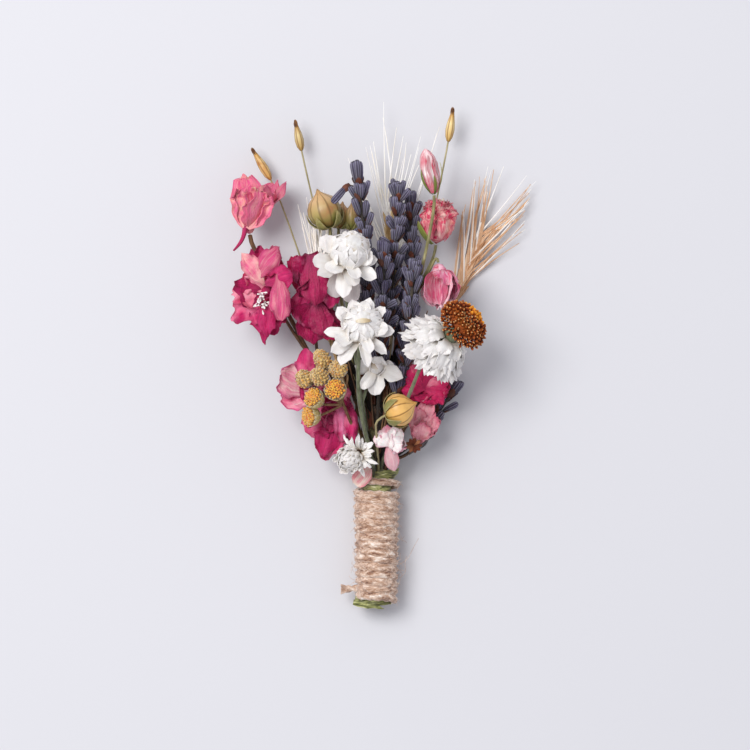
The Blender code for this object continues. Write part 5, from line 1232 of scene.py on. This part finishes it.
def makeLavender():
    # lavender calyx: downy slate-blue tube, pale on its ribs and darker towards its mouth; the near-black in the
    # grooves between the ribs and inside the mouth is painted shade
    calyxSkin = huskMaterial({"name": "lavenderCalyx", "roughness": 0.75, "sheen": 0.35, "blotch": 3.0, "ribs": 8,
                              "along": [(0, "3a2a2c"), (0.16, "544a58"), (0.4, "6c6680"), (0.6, "8c86a2"),
                                        # the last stops, near-black, are painted shade inside the in-turned mouth
                                        (0.7, "4a4258"), (0.8, "1c141c"), (1, "080406")],
                              # dark and groove: near-black painted shade in the grooves between the ribs
                              "patch": "3e3258", "patchFrom": 0.8, "dark": "1c141e", "groove": 0.95, "line": 0.1,
                              "bump": 0.7})
    stalkSkin = stemMaterial({"name": "lavenderStalk", "roughness": 0.7, "sheen": 0.2, "bump": 0.4,
                              "stops": [(0, "1e1610"), (0.5, "3c3226"), (0.85, "5e5442"), (1, "7c7260")]})
    russet = petalMaterial(petalLook("russetBract", "4a2418", "6e3a28", "8a5a48", "4e2c20", "3e2218", "5c4034",
                                     veins=0.5, veinScale=(1, 12, 1)))
    for order, (name, spike) in enumerate(lavenderSpikes.items()):
        draw = random.Random(300 + order)
        low = Vector(spike["low"])
        tip = Vector(spike["tip"])
        along = (tip - low).normalized()
        side = along.cross(Vector((0, 0, 1))).normalized()
        other = along.cross(side)
        points = stemRoute(slots[name], low) + [low.lerp(tip, 0.5), tip - along * 3]
        stalk = tube([(points, [0.45] * (len(points) - 2) + [0.5, 0.4])], 8)
        calyxes = []
        leaves = []
        length = (tip - low).length
        gap = 9.2 if name == "lavender_1" else 4.6      # the left spike ends in a pair that stands apart
        whorls = int((length - gap) / lavenderLook["spacing"]) + 1
        full = lavenderLook["thin"].get(name, lavenderLook["perWhorl"])
        centres = [(low + along * lavenderLook["spacing"] * whorl, full) for whorl in range(whorls)]
        y = low.y - 4.4
        while y > max(lavenderLook["lowest"], low.y - 20):      # a few whorls lower down the stalk
            centres.append((placeOn(points, y), 5))
            y -= 4.4
        for whorl, (centre, count) in enumerate(centres):
            centre = centre + along * draw.uniform(-0.7, 0.7)
            for place in range(count):
                angle = 2 * math.pi * (place + 0.5 * (whorl % 2)) / count + draw.uniform(-0.35, 0.35)
                away = side * math.cos(angle) + other * math.sin(angle)
                if draw.random() < lavenderLook["missing"]:
                    continue
                splay = draw.uniform(*lavenderLook["splay"]) * (1 if draw.random() < 0.86 else 2.2)
                root = centre + away * draw.uniform(0.5, 0.9) + along * draw.uniform(-1.0, 1.0)
                way = along * math.cos(splay) + away * math.sin(splay)
                reach = lavenderLook["calyx"] * draw.uniform(0.74, 1.1)
                calyxes.append(lay(calyxBlank, root, root + way * reach, lavenderLook["wide"] * draw.uniform(0.86, 1.08),
                                   up=away, tone=draw.random()))
                if place % 2 == 0:
                    goal = root + (along * 0.85 + away * 0.5) * draw.uniform(1.8, 2.8)
                    leaves.append(layPetal(ovalBractBlank, root - along * 0.6, goal + away * 0.6, away, 1.6, bow=0.2,
                                           cup=-0.4, seed=draw.random()))
        ends = [(tip - along * (7.0 if name == "lavender_1" else 5.4), (0.2, 3.3, 2.0, 5.0))]
        for foot, angles in ends:
            for angle in angles:
                away = side * math.cos(angle) + other * math.sin(angle)
                calyxes.append(lay(calyxBlank, foot + away * 0.5, tip + away * 0.95 - along * draw.uniform(0, 0.8), 0.95,
                                   up=away, tone=draw.random()))
        for place in range(3):
            away = side * math.cos(2.1 * place + 0.6) + other * math.sin(2.1 * place + 0.6)
            foot = tip - along * (7.8 if name == "lavender_1" else 6.0) + away * 0.5
            leaves.append(layPetal(ovalBractBlank, foot, foot + along * 2.8 + away * 1.2, away, 1.9, bow=0.3, cup=-0.4,
                                   seed=draw.random()))
        if name == "lavender_1":      # one calyx hangs down on its own thread
            start = tip - along * 8.4
            bend = start + Vector((-3.2, 1.0, 0.6))
            end = bend + Vector((-4.4, -5.0, 0.2))
            thread = tube([([start, start.lerp(bend, 0.5) + Vector((0, 0.5, 0)), bend], [0.22, 0.2, 0.24])], 6)
            stalk = joined([stalk, thread])
            calyxes.append(lay(calyxBlank, bend, end, 1.0, tone=0.7))
            leaves.append(layPetal(ovalBractBlank, bend - Vector((-0.6, -0.3, 0)), bend.lerp(end, 0.36), (0, 0, 1), 2.0,
                                   bow=0.8, cup=-0.6, seed=3))
        sheet = joined(leaves)
        applied(sheet, "SOLIDIFY", thickness=0.14, offset=0)
        finished(name.replace("_", "Spike"), [painted(joined(calyxes), calyxSkin), painted(stalk, stalkSkin),
                                              painted(sheet, russet)], "lavender_calyx", name)
    print("lavender made")


# Wheat

wheatLook = {"awnRadius": 0.2, "husks": 3,
             "huskRadius": {"wheat_left": 0.66, "wheat_middle": 0.66, "wheat_right": 0.42},
             "awnCopies": {"wheat_left": 7, "wheat_middle": 4, "wheat_right": 6}}
huskBlank = turnedBlank("huskBlank", 10, [(0, 0), (0.1, 0.55), (0.35, 1.0), (0.6, 0.9), (0.85, 0.4), (1, 0)],
                        ribs=5, ribDepth=0.1)


def makeWheat():
    for order, (name, ear) in enumerate(wheatEars.items()):
        draw = random.Random(600 + order)
        skin = redStraw if name == "wheat_right" else strawSkin
        shorten = (0, 5) if name == "wheat_right" else (1, 9)
        foot = Vector(ear["foot"])
        top = Vector(ear["top"])
        along = (top - foot).normalized()
        side = along.cross(Vector((0, 0, 1))).normalized()
        other = side.cross(along)
        points = stemRoute(slots[name], foot) + [top]
        husks = []
        starts = []
        count = ear["spikelets"] * 2
        for place in range(count):
            hand = 1 if place % 2 else -1
            root = foot.lerp(top, place / count)
            for husk in range(wheatLook["husks"]):
                spread = (husk - 1) * 0.9
                goal = root + along * 6.6 + side * hand * draw.uniform(1.2, 2.4) + other * spread
                husks.append(lay(huskBlank, root, goal, wheatLook["huskRadius"][name], up=other, tone=draw.random()))
            starts.append(root.lerp(root + along * 6.4 + side * hand * 1.6, 0.7))
        pale = []
        tan = []
        for place, goal in enumerate(ear["awns"]):
            for copy in range(wheatLook["awnCopies"][name]):
                start = starts[min(2 * place + copy % 2, count - 1)]
                end = Vector(goal)
                if copy:
                    nearby = Vector(ear["awns"][(place + 2) % len(ear["awns"])])
                    end = end.lerp(nearby, draw.uniform(0.05, 0.6)) - along * draw.uniform(*shorten)
                bend = start.lerp(end, 0.5) + side * draw.uniform(-1.4, 1.4) + Vector((0, 0, draw.uniform(0, 0.8)))
                radius = wheatLook["awnRadius"] * draw.uniform(0.7, 1.2)
                strand = ([start, bend, end], [radius * 1.6, radius, radius * 0.4])
                (tan if name == "wheat_right" and copy % 3 else pale).append(strand)
        pieces = [painted(joined(husks), skin), painted(tube([(points, [0.45] * len(points))], 8), skin),
                  painted(tube(pale, 4), creamHair)]
        if tan:
            pieces.append(painted(tube(tan, 4), redStraw))
        finished(name.replace("wheat_", "wheatEar_"), pieces, "straw", name)
    print("wheat made")


# Seed heads: flax bolls and slender capsules

bollBlank = turnedBlank("bollBlank", 40, [(0, 0), (0.03, 0.3), (0.12, 0.66), (0.26, 0.9), (0.42, 1.0), (0.58, 0.92),
                                          (0.72, 0.72), (0.82, 0.4), (0.9, 0.16), (0.96, 0.08), (1, 0)],
                        ribs=10, ribDepth=0.03)
podBlank = turnedBlank("podBlank", 24, [(0, 0), (0.05, 0.4), (0.18, 0.82), (0.38, 1.0), (0.58, 0.88), (0.76, 0.6),
                                        (0.9, 0.4), (0.97, 0.24), (1, 0)], ribs=6, ribDepth=0.1)


def bollWithSepals(base, tip, radius, skin, sepalSkin, tone, seed, sepals=5):
    draw = random.Random(seed)
    base = Vector(base)
    tip = Vector(tip)
    along = (tip - base).normalized()
    side = along.cross(Vector((0.1, 0, 1))).normalized()
    other = along.cross(side)
    ball = painted(lay(bollBlank, base, tip, radius, tone=tone), skin)
    leaves = []
    for place in range(sepals):
        angle = 2 * math.pi * (place + 0.25) / sepals
        away = side * math.cos(angle) + other * math.sin(angle)
        root = base + along * 0.2 + away * 0.3
        goal = base + along * radius * draw.uniform(0.9, 1.3) + away * radius * 1.1
        leaves.append(layPetal(ovalBractBlank, root, goal, away, radius * 0.5, bow=radius * 0.42, cup=-0.3, curl=0.1,
                               seed=draw.random()))
    sheet = joined(leaves)
    applied(sheet, "SOLIDIFY", thickness=0.16, offset=0)
    return [ball, painted(sheet, sepalSkin)]


def makeSeedHeads():
    # flax boll: smooth hard shell in five parts, tan above and striped olive below
    spraySkin = huskMaterial({"name": "flaxBoll", "roughness": 0.4, "sheen": 0.0, "blotch": 4.0, "ribs": 10,
                              "along": [(0, "5a5a2c"), (0.24, "80803e"), (0.42, "b09a5c"), (0.6, "cda878"),
                                        (0.85, "c89c68"), (1, "6e4c2c")],
                              "patch": "a87848", "patchFrom": 0.74, "dark": "6a5228", "groove": 0.7, "line": -0.6,
                              "bump": 0.3})
    frontSkin = huskMaterial({"name": "yellowFlaxBoll", "roughness": 0.4, "sheen": 0.0, "blotch": 5.0, "ribs": 10,
                              "along": [(0, "8f8a40"), (0.16, "bfa050"), (0.3, "e2ae60"), (0.6, "ecba6a"),
                                        (0.85, "dca458"), (1, "a8703a")],
                              "patch": "c89650", "patchFrom": 0.78, "dark": "8a5c24", "groove": 0.9, "line": -0.8,
                              "bump": 0.3})
    sepalSkin = petalMaterial(petalLook("flaxSepal", "6e6c38", "908a50", "b2a26a", "5e5c2c", "c8b988", "a89c64",
                                        veins=0.4, rim=0.5, veinScale=(1, 10, 1)))
    firstBase = Vector(sprayBolls[0][0])
    route = stemRoute(slots["flax_spray"], firstBase - Vector((0, 2, 0.4))) + [firstBase + Vector((0, 0.8, 0))]
    stems = [(route, [0.45] * len(route))]
    start = placeOn(route, 94)
    pieces = []
    for order, (base, tip, radius) in enumerate(sprayBolls):
        pieces += bollWithSepals(base, tip, radius, spraySkin, sepalSkin, (0.5, 0.8, 0.3)[order], 700 + order)
        if order:
            foot = Vector(base)
            stems.append(([start, foot - Vector((0, 3, 0)), foot + Vector((0, 1, 0))], [0.4] * 3))
    stalk = painted(tube(stems, 8), lightGreen)
    finished("flaxSpray", [stalk] + pieces, "flax_boll", "flax_spray")
    base, tip, radius = frontBoll
    along = (Vector(tip) - Vector(base)).normalized()
    route = stemRoute(slots["flax_front"], Vector(base) - along * 3 - Vector((0, 0, 1)), steps=3)
    route.append(Vector(base) + along)
    stalk = painted(tube([(route, [0.45] * 2 + [0.32] * (len(route) - 2))], 8), paleStalk)
    finished("flaxFront", [stalk] + bollWithSepals(base, tip, radius, frontSkin, sepalSkin, 0.6, 710),
             "flax_boll", "flax_front")

    # seed capsule: thin gold shell with brown ribs, split into teeth at its mouth
    podSkin = huskMaterial({"name": "seedCapsule", "roughness": 0.5, "sheen": 0.0, "blotch": 3.0, "ribs": 6,
                            "along": [(0, "9a7a40"), (0.2, "cfa860"), (0.5, "eed494"), (0.68, "cf9f50"),
                                      (0.84, "8a5c30"), (1, "4a2c18")],
                            "patch": "b87c30", "patchFrom": 0.76, "dark": "8a5820", "groove": 0.8, "line": -0.2,
                            "bump": 0.5})
    toothSkin = petalMaterial(petalLook("capsuleTooth", "8c5c2c", "7a4c28", "c49c6c", "5c3818", "54341c", "94683c"))
    for order, (name, (base, tip)) in enumerate(capsules.items()):
        draw = random.Random(720 + order)
        base = Vector(base)
        tip = Vector(tip)
        along = (tip - base).normalized()
        side = along.cross(Vector((0, 0, 1))).normalized()
        other = along.cross(side)
        points = stemRoute(slots[name], base - along * 3, steps=3) + [base + along]
        stalk = tube([(points, [0.45] * 2 + [0.36] + [0.24] * (len(points) - 3))], 8)
        pod = lay(podBlank, base, tip, 1.16, tone=draw.random())
        teeth = []
        for place in range(5):
            angle = 2 * math.pi * place / 5
            away = side * math.cos(angle) + other * math.sin(angle)
            root = tip + away * 0.45 - along * 1.6
            goal = tip + along * draw.uniform(0.1, 0.9) + away * draw.uniform(0.1, 0.5)
            teeth.append(layPetal(ovalBractBlank, root, goal, away, 0.8, seed=draw.random()))
        sheet = joined(teeth)
        applied(sheet, "SOLIDIFY", thickness=0.12, offset=0)
        finished(name.replace("capsule_", "seedCapsule_"), [painted(pod, podSkin), painted(stalk, paleStalk),
                                                            painted(sheet, toothSkin)], "seed_capsule", name)
    print("seed heads made")


# Yellow buttons

buttonLook = {"florets": 54, "closedFlorets": 84, "rimBracts": 14}
closedBlank = turnedBlank("closedBlank", 28, [(0, 0), (0.05, 0.35), (0.16, 0.68), (0.35, 0.94), (0.55, 1.0),
                                              (0.75, 0.9), (0.9, 0.62), (1.0, 0.34), (0.93, 0.2), (0.85, 0)],
                          ribs=14, ribDepth=0.06)
bowlBlank = turnedBlank("bowlBlank", 24, [(0, 0), (0.06, 0.4), (0.2, 0.72), (0.45, 0.92), (0.75, 1.0), (0.9, 0.92),
                                          (0.94, 0.6), (0.95, 0)], ribs=12, ribDepth=0.05)
tuftBlank = turnedBlank("tuftBlank", 6, [(0, 0), (0.3, 0.8), (0.7, 1.0), (0.92, 0.7), (1, 0)])


def makeButtons():
    # woolly cup: felted hairs over a pleated head, tan with yellow and olive showing through
    woolSkin = huskMaterial({"name": "woollyCup", "roughness": 0.85, "sheen": 0.8, "blotch": 1.4, "ribs": 14,
                             "along": [(0, "7c6a34"), (0.3, "b0904c"), (0.6, "cca45c"), (0.8, "dcb260"),
                                       (1, "c48424")],
                             "patch": "dcc494", "patchFrom": 0.62, "dark": "866832", "groove": 0.5, "line": -0.3,
                             "bump": 1.0})
    floretSkin = huskMaterial({"name": "yellowFloret", "roughness": 0.6, "sheen": 0.4, "blotch": 1.0, "ribs": 5,
                               "along": [(0, "a85c0c"), (0.4, "ee9c14"), (0.8, "fcb820"), (1, "ffd448")],
                               "patch": "dc7e14", "patchFrom": 0.76, "dark": "9c5c10", "groove": 0.3, "line": 0,
                               "bump": 0.6})
    downSkin = huskMaterial({"name": "downyFloret", "roughness": 0.9, "sheen": 0.6, "blotch": 1.0, "ribs": 5,
                             "along": [(0, "907030"), (0.5, "cea450"), (0.85, "ecc46c"), (1, "f8e09c")],
                             "patch": "d09030", "patchFrom": 0.76, "dark": "806430", "groove": 0.3, "line": 0,
                             "bump": 0.6})
    rimSkin = petalMaterial(petalLook("buttonRim", "a58a40", "cdb87c", "e8ddb8", "b89a54", "efe6c8", "d8c078",
                                      veins=0.5, veinScale=(1, 8, 1)))
    for order, (base, top, radius, isOpen) in enumerate(buttons):
        draw = random.Random(800 + order)
        base = Vector(base)
        top = Vector(top)
        along = (top - base).normalized()
        side = along.cross(Vector((0, 1, 0.2))).normalized()
        other = along.cross(side)
        height = (top - base).length
        wide = radius * (1.06 if isOpen else 1.0)
        body = lay(bowlBlank if isOpen else closedBlank, base, top - along * (0.8 if isOpen else 0.1), wide,
                   up=side, tone=draw.random())
        tufts = []
        count = buttonLook["florets" if isOpen else "closedFlorets"]
        for place in range(count):
            share = (place + 0.5) / count
            away = side * math.cos(2.4 * place) + other * math.sin(2.4 * place)
            if isOpen:
                root = top - along * (1.7 - 0.9 * (1 - share)) + away * wide * 0.92 * math.sqrt(share)
                goal = root + along * draw.uniform(1.0, 1.5) + away * draw.uniform(0.0, 0.6) * share
                tufts.append(lay(tuftBlank, root, goal, draw.uniform(0.34, 0.48), tone=draw.random()))
            else:
                polar = 0.2 + 2.0 * share
                out = along * math.cos(polar) + away * math.sin(polar)
                root = base + along * height * 0.5 + (along * math.cos(polar) * height * 0.4
                                                      + away * math.sin(polar) * wide * 0.78)
                goal = root + (out + along * 0.8).normalized() * draw.uniform(0.8, 1.3)
                tufts.append(lay(tuftBlank, root, goal, draw.uniform(0.24, 0.5), tone=draw.random()))
        pieces = [painted(joined(tufts), floretSkin if isOpen else downSkin), painted(body, woolSkin)]
        rims = []
        for place in range(buttonLook["rimBracts"] if isOpen else 9):
            angle = 2 * math.pi * place / (buttonLook["rimBracts"] if isOpen else 9) + draw.uniform(-0.1, 0.1)
            away = side * math.cos(angle) + other * math.sin(angle)
            root = base + along * height * 0.3 + away * wide * 0.86
            goal = top + away * wide * (1.05 if isOpen else 0.55) - along * draw.uniform(0.2, 0.9)
            rims.append(layPetal(ovalBractBlank, root, goal, away, 1.5, bow=0.3 if isOpen else 0.5, cup=-0.1,
                                 ragged=0.2, curl=0.2, seed=draw.random()))
        sheet = joined(rims)
        applied(sheet, "SOLIDIFY", thickness=0.14, offset=0)
        pieces.append(painted(sheet, rimSkin if isOpen else downSkin))
        finished("yellowButton_" + str(order + 1), pieces, "yellow_floret" if isOpen else "woolly_cup",
                 "button_" + str(order + 1))
    hub = Vector(buttonHub)
    points = stemRoute(slots["buttons"], hub)
    stems = [(points, [0.45] * len(points))]
    for order, (base, top, radius, isOpen) in enumerate(buttons):
        along = (Vector(top) - Vector(base)).normalized()
        stems.append(([hub - Vector((0, 0.2 * order, 0)), Vector(base) - along * 1.6, Vector(base) - along * 0.3],
                      [0.36] * 3))
    finished("buttonStem", [painted(tube(stems, 8), brownBark)], "dry_stem", "button_stem")
    print("buttons made")


# Spray rose

roseLook = {"budPetals": 9, "ballPetals": 16}


def makeRose():
    base, tip = Vector(roseBud[0]), Vector(roseBud[1])
    along = (tip - base).normalized()
    route = stemRoute(slots["rose"], base - along * 3) + [base - along * 0.3]
    ballBase, ballTip = Vector(roseBall[0]), Vector(roseBall[1])
    ballAlong = (ballTip - ballBase).normalized()
    stems = [(route, [0.45] * len(route))]
    for y, foot, facing in ((90, ballBase, ballAlong), (88, roseBloom["base"], roseBloom["facing"])):
        stems.append(branchTo(placeOn(route, y), foot, facing, 0.4))
    finished("roseStem", [painted(tube(stems, 10), lightGreen)], "green_stem", "rose_stem")
    makeBloom("roseBloom", "rose_bloom", roseBloom, "hangingPetal", "hangingPetal", "pale_petal", 260,
              blank=roundPetalBlank, broad=1.9, ruffle=0.3, crumple=0.14, pleat=0.4, shorter=(0.8, 1.0))

    draw = random.Random(30)
    side = along.cross(Vector((0, 0, 1))).normalized()
    other = side.cross(along)
    core = painted(lay(heartBlank, base, tip - along * 1.4, 2.2), petalFinishes["budPetal"])
    sheets = []
    for place in range(roseLook["budPetals"]):
        angle = 2.4 * place
        away = side * math.cos(angle) + other * math.sin(angle)
        root = base + along * 0.4 + away * 0.9
        goal = tip + away * 0.5 - along * draw.uniform(0, 2.4)
        sheets.append(layPetal(petalBlank, root, goal, away, 4.6, bow=1.6, cup=-1.3, ruffle=0.15,
                               twist=0.35, seed=draw.random()))
    sheet = joined(sheets)
    applied(sheet, "SOLIDIFY", thickness=0.16, offset=0)
    sepals = []
    for place in range(5):
        angle = 2 * math.pi * place / 5
        away = side * math.cos(angle) + other * math.sin(angle)
        goal = base + along * draw.uniform(5, 8.6) + away * draw.uniform(2.6, 3.2)
        sepals.append(layPetal(ovalBractBlank, base + away * 0.4, goal, away, 0.9, bow=1.2, cup=-0.2, seed=draw.random()))
    sepalSheet = joined(sepals)
    applied(sepalSheet, "SOLIDIFY", thickness=0.14, offset=0)
    sepalSkin = petalMaterial(petalLook("roseSepal", "5c6a2c", "80893c", "9c9c54", "4c5a24", "b8b070", "8c8c44",
                                        veins=0.4, veinScale=(1, 8, 1)))
    finished("roseBud", [painted(sheet, petalFinishes["budPetal"]), core, painted(sepalSheet, sepalSkin)],
             "pale_petal", "rose_bud")

    side = ballAlong.cross(Vector((0, 0, 1))).normalized()
    other = side.cross(ballAlong)
    core = painted(lay(heartBlank, ballBase, ballTip - ballAlong * 2, 3.6), petalFinishes["ballPetal"])
    sheets = []
    for place in range(roseLook["ballPetals"]):
        angle = 2.4 * place
        away = side * math.cos(angle) + other * math.sin(angle)
        share = place / roseLook["ballPetals"]
        root = ballBase + ballAlong * (1.0 + 3 * share) + away * 2.2
        goal = ballBase + ballAlong * (13.2 - 2.5 * (1 - share)) + away * (3.4 - 1.6 * share)
        sheets.append(layPetal(roundPetalBlank, root, goal, away, 6.0, bow=1.5 - share, cup=-0.8, ruffle=1.1,
                               waves=4, crumple=0.5, ragged=0.12, pleat=0.7, seed=draw.random()))
    sheet = joined(sheets)
    applied(sheet, "SOLIDIFY", thickness=0.16, offset=0)
    sepal = layPetal(ovalBractBlank, ballBase + Vector((-1, 0, 0)), ballBase + Vector((-5.0, 6.4, 1.0)), (-1, 0, 0.6), 2.6,
                     bow=1.0, cup=-0.3, seed=5)
    applied(sepal, "SOLIDIFY", thickness=0.16, offset=0)
    finished("roseBall", [painted(sheet, petalFinishes["ballPetal"]), core, painted(sepal, sepalSkin)],
             "pale_petal", "rose_ball")
    print("rose made")


# Dried leaves and thin broken stems that fill the inside of the bunch; the near-black leaves among them are painted
# shade, dark sheets set where the bunch lies in deep shade

litterAndShadeLook = {"leaves": 84, "twigs": 26, "leanFrom": -0.34, "leanTo": 0.36, "wide": (1.4, 3.4), "long": (9, 24)}


def fanPoint(lean, y, height):
    return Vector((lean * fan(y), y, height))


def makeLitterAndShadeFill():
    draw = random.Random(900)
    look = litterAndShadeLook
    # the first skin, near-black, is painted shade and goes on half the filler leaves; the olive and russet skins are
    # dried-leaf colours set dark, partly painted shade as well
    skins = [petalMaterial(petalLook("darkDryLeaf", "0e0806", "180e0a", "2c1e14", "0a0604", "100a06", "3c2a1c")),
             petalMaterial(petalLook("oliveDryLeaf", "26221a", "3c3822", "5c5230", "1e1c10", "2a2616", "746640")),
             petalMaterial(petalLook("russetDryLeaf", "4c2416", "74381f", "8c4c2c", "3c1c12", "4a2416", "a06c48")),
             petalMaterial(petalLook("greyDryLeaf", "5c5c58", "7c7c80", "8c8c94", "55554c", "5c584c", "a0a098"))]
    sheets = []
    for number in range(look["leaves"]):
        lean = draw.uniform(look["leanFrom"], look["leanTo"])
        low = draw.uniform(40, 62)
        high = low + draw.uniform(*look["long"])
        height = draw.uniform(3.5, 12)
        root = fanPoint(lean, low, height)
        tip = fanPoint(lean * draw.uniform(0.86, 1.14), high, height + draw.uniform(-1.5, 2.5))
        leaf = layPetal(petalBlank, root, tip, (draw.uniform(-0.6, 0.6), 0, 1), draw.uniform(*look["wide"]),
                        bow=draw.uniform(-1, 1), cup=draw.uniform(-1.2, 1.2), ruffle=0.4, crumple=0.5, ragged=0.2,
                        twist=draw.uniform(-1, 1), pleat=0.4, seed=draw.random())
        # half of these leaves take the near-black painted-shade skin
        sheets.append(painted(leaf, skins[(0, 0, 1, 2)[number % 4]]))
    for number in range(9):      # a russet star and grey leaves low on the right
        angle = 0.7 * number
        root = Vector((10.4, 45.6, 13.0))
        tip = root + Vector((2.6 * math.cos(angle), 2.4 * math.sin(angle), 1.2))
        star = layPetal(ovalBractBlank, root, tip, (0, 0, 1), 1.2, bow=0.3, curl=0.5, seed=draw.random())
        sheets.append(painted(star, skins[2]))
    for root, tip in (((10.0, 44.0, 9.0), (16.6, 52.0, 8.0)), ((9.0, 43.0, 8.0), (14.6, 48.6, 6.0))):
        sheets.append(painted(layPetal(petalBlank, root, tip, (0.2, 0, 1), 2.6, bow=0.4, cup=0.6, pleat=0.8,
                                       seed=draw.random()), skins[3]))
    sheet = joined(sheets)
    applied(sheet, "SOLIDIFY", thickness=0.14, offset=0)
    twigs = []
    for number in range(look["twigs"]):
        lean = draw.uniform(look["leanFrom"], look["leanTo"])
        height = draw.uniform(4, 15)
        high = draw.uniform(62, 84)
        middle = fanPoint(lean, 50 + draw.uniform(-4, 8), height) + Vector((draw.uniform(-0.8, 0.8), 0, 0))
        twigs.append(([fanPoint(lean, 38.6, 8.4), middle, fanPoint(lean, high, height)], [0.24, 0.22, 0.16]))
    finished("driedLeaves", [sheet, painted(tube(twigs, 6), brownBark)], "dry_stem")
    print("dried leaves made")


makeTie()
makeLarkspurs()
makeLitterAndShadeFill()
makeEverlastings()
makeDaisy()
makeLavender()
makeWheat()
makeSeedHeads()
makeButtons()
makeRose()

for blank in [piece for piece in bpy.data.objects if piece.name.endswith("Blank")]:
    bpy.data.objects.remove(blank)


# Floor, light and camera

studio = {"field": 0.21, "distance": 4.0, "middle": (-0.42, 65.24), "floor": "d5d4d7", "world": 0.62,
          "keyPower": 15.0, "keySize": 0.7, "keyFrom": (-0.55, 0.38, 1.2)}
centre = layoutOrigin + Vector((studio["middle"][0] * mm, studio["middle"][1] * mm, 0))

deselect()
bpy.ops.mesh.primitive_plane_add(size=6, location=(centre.x, centre.y, 0))
floor = bpy.context.object
floor.name = "floor"
floorPaint, tree, shader = startMaterial("studioFloor", {"Roughness": 0.9, "Specular IOR Level": 0.2})
shader.inputs["Base Color"].default_value = linear(studio["floor"])
painted(floor, floorPaint)

world = bpy.data.worlds.new("softStudio")
bpy.context.scene.world = world
world.use_nodes = True
background = world.node_tree.nodes["Background"]
background.inputs["Color"].default_value = linear("f4f6ff")
background.inputs["Strength"].default_value = studio["world"]

keyData = bpy.data.lights.new("windowKey", "AREA")
keyData.shape = "SQUARE"
keyData.size = studio["keySize"]
keyData.energy = studio["keyPower"]
key = bpy.data.objects.new("windowKey", keyData)
key.location = centre + Vector(studio["keyFrom"])
key.rotation_euler = (-Vector(studio["keyFrom"])).to_track_quat("-Z", "Y").to_euler()
bpy.context.scene.collection.objects.link(key)

cameraData = bpy.data.cameras.new("camera")
cameraData.lens = cameraData.sensor_width * studio["distance"] / studio["field"]
cameraData.clip_end = 20
camera = bpy.data.objects.new("camera", cameraData)
camera.location = centre + Vector((0, 0, studio["distance"]))
bpy.context.scene.collection.objects.link(camera)
bpy.context.scene.camera = camera
bpy.context.scene.view_settings.view_transform = "Standard"
bpy.context.scene.view_settings.look = "None"
print("stage set")
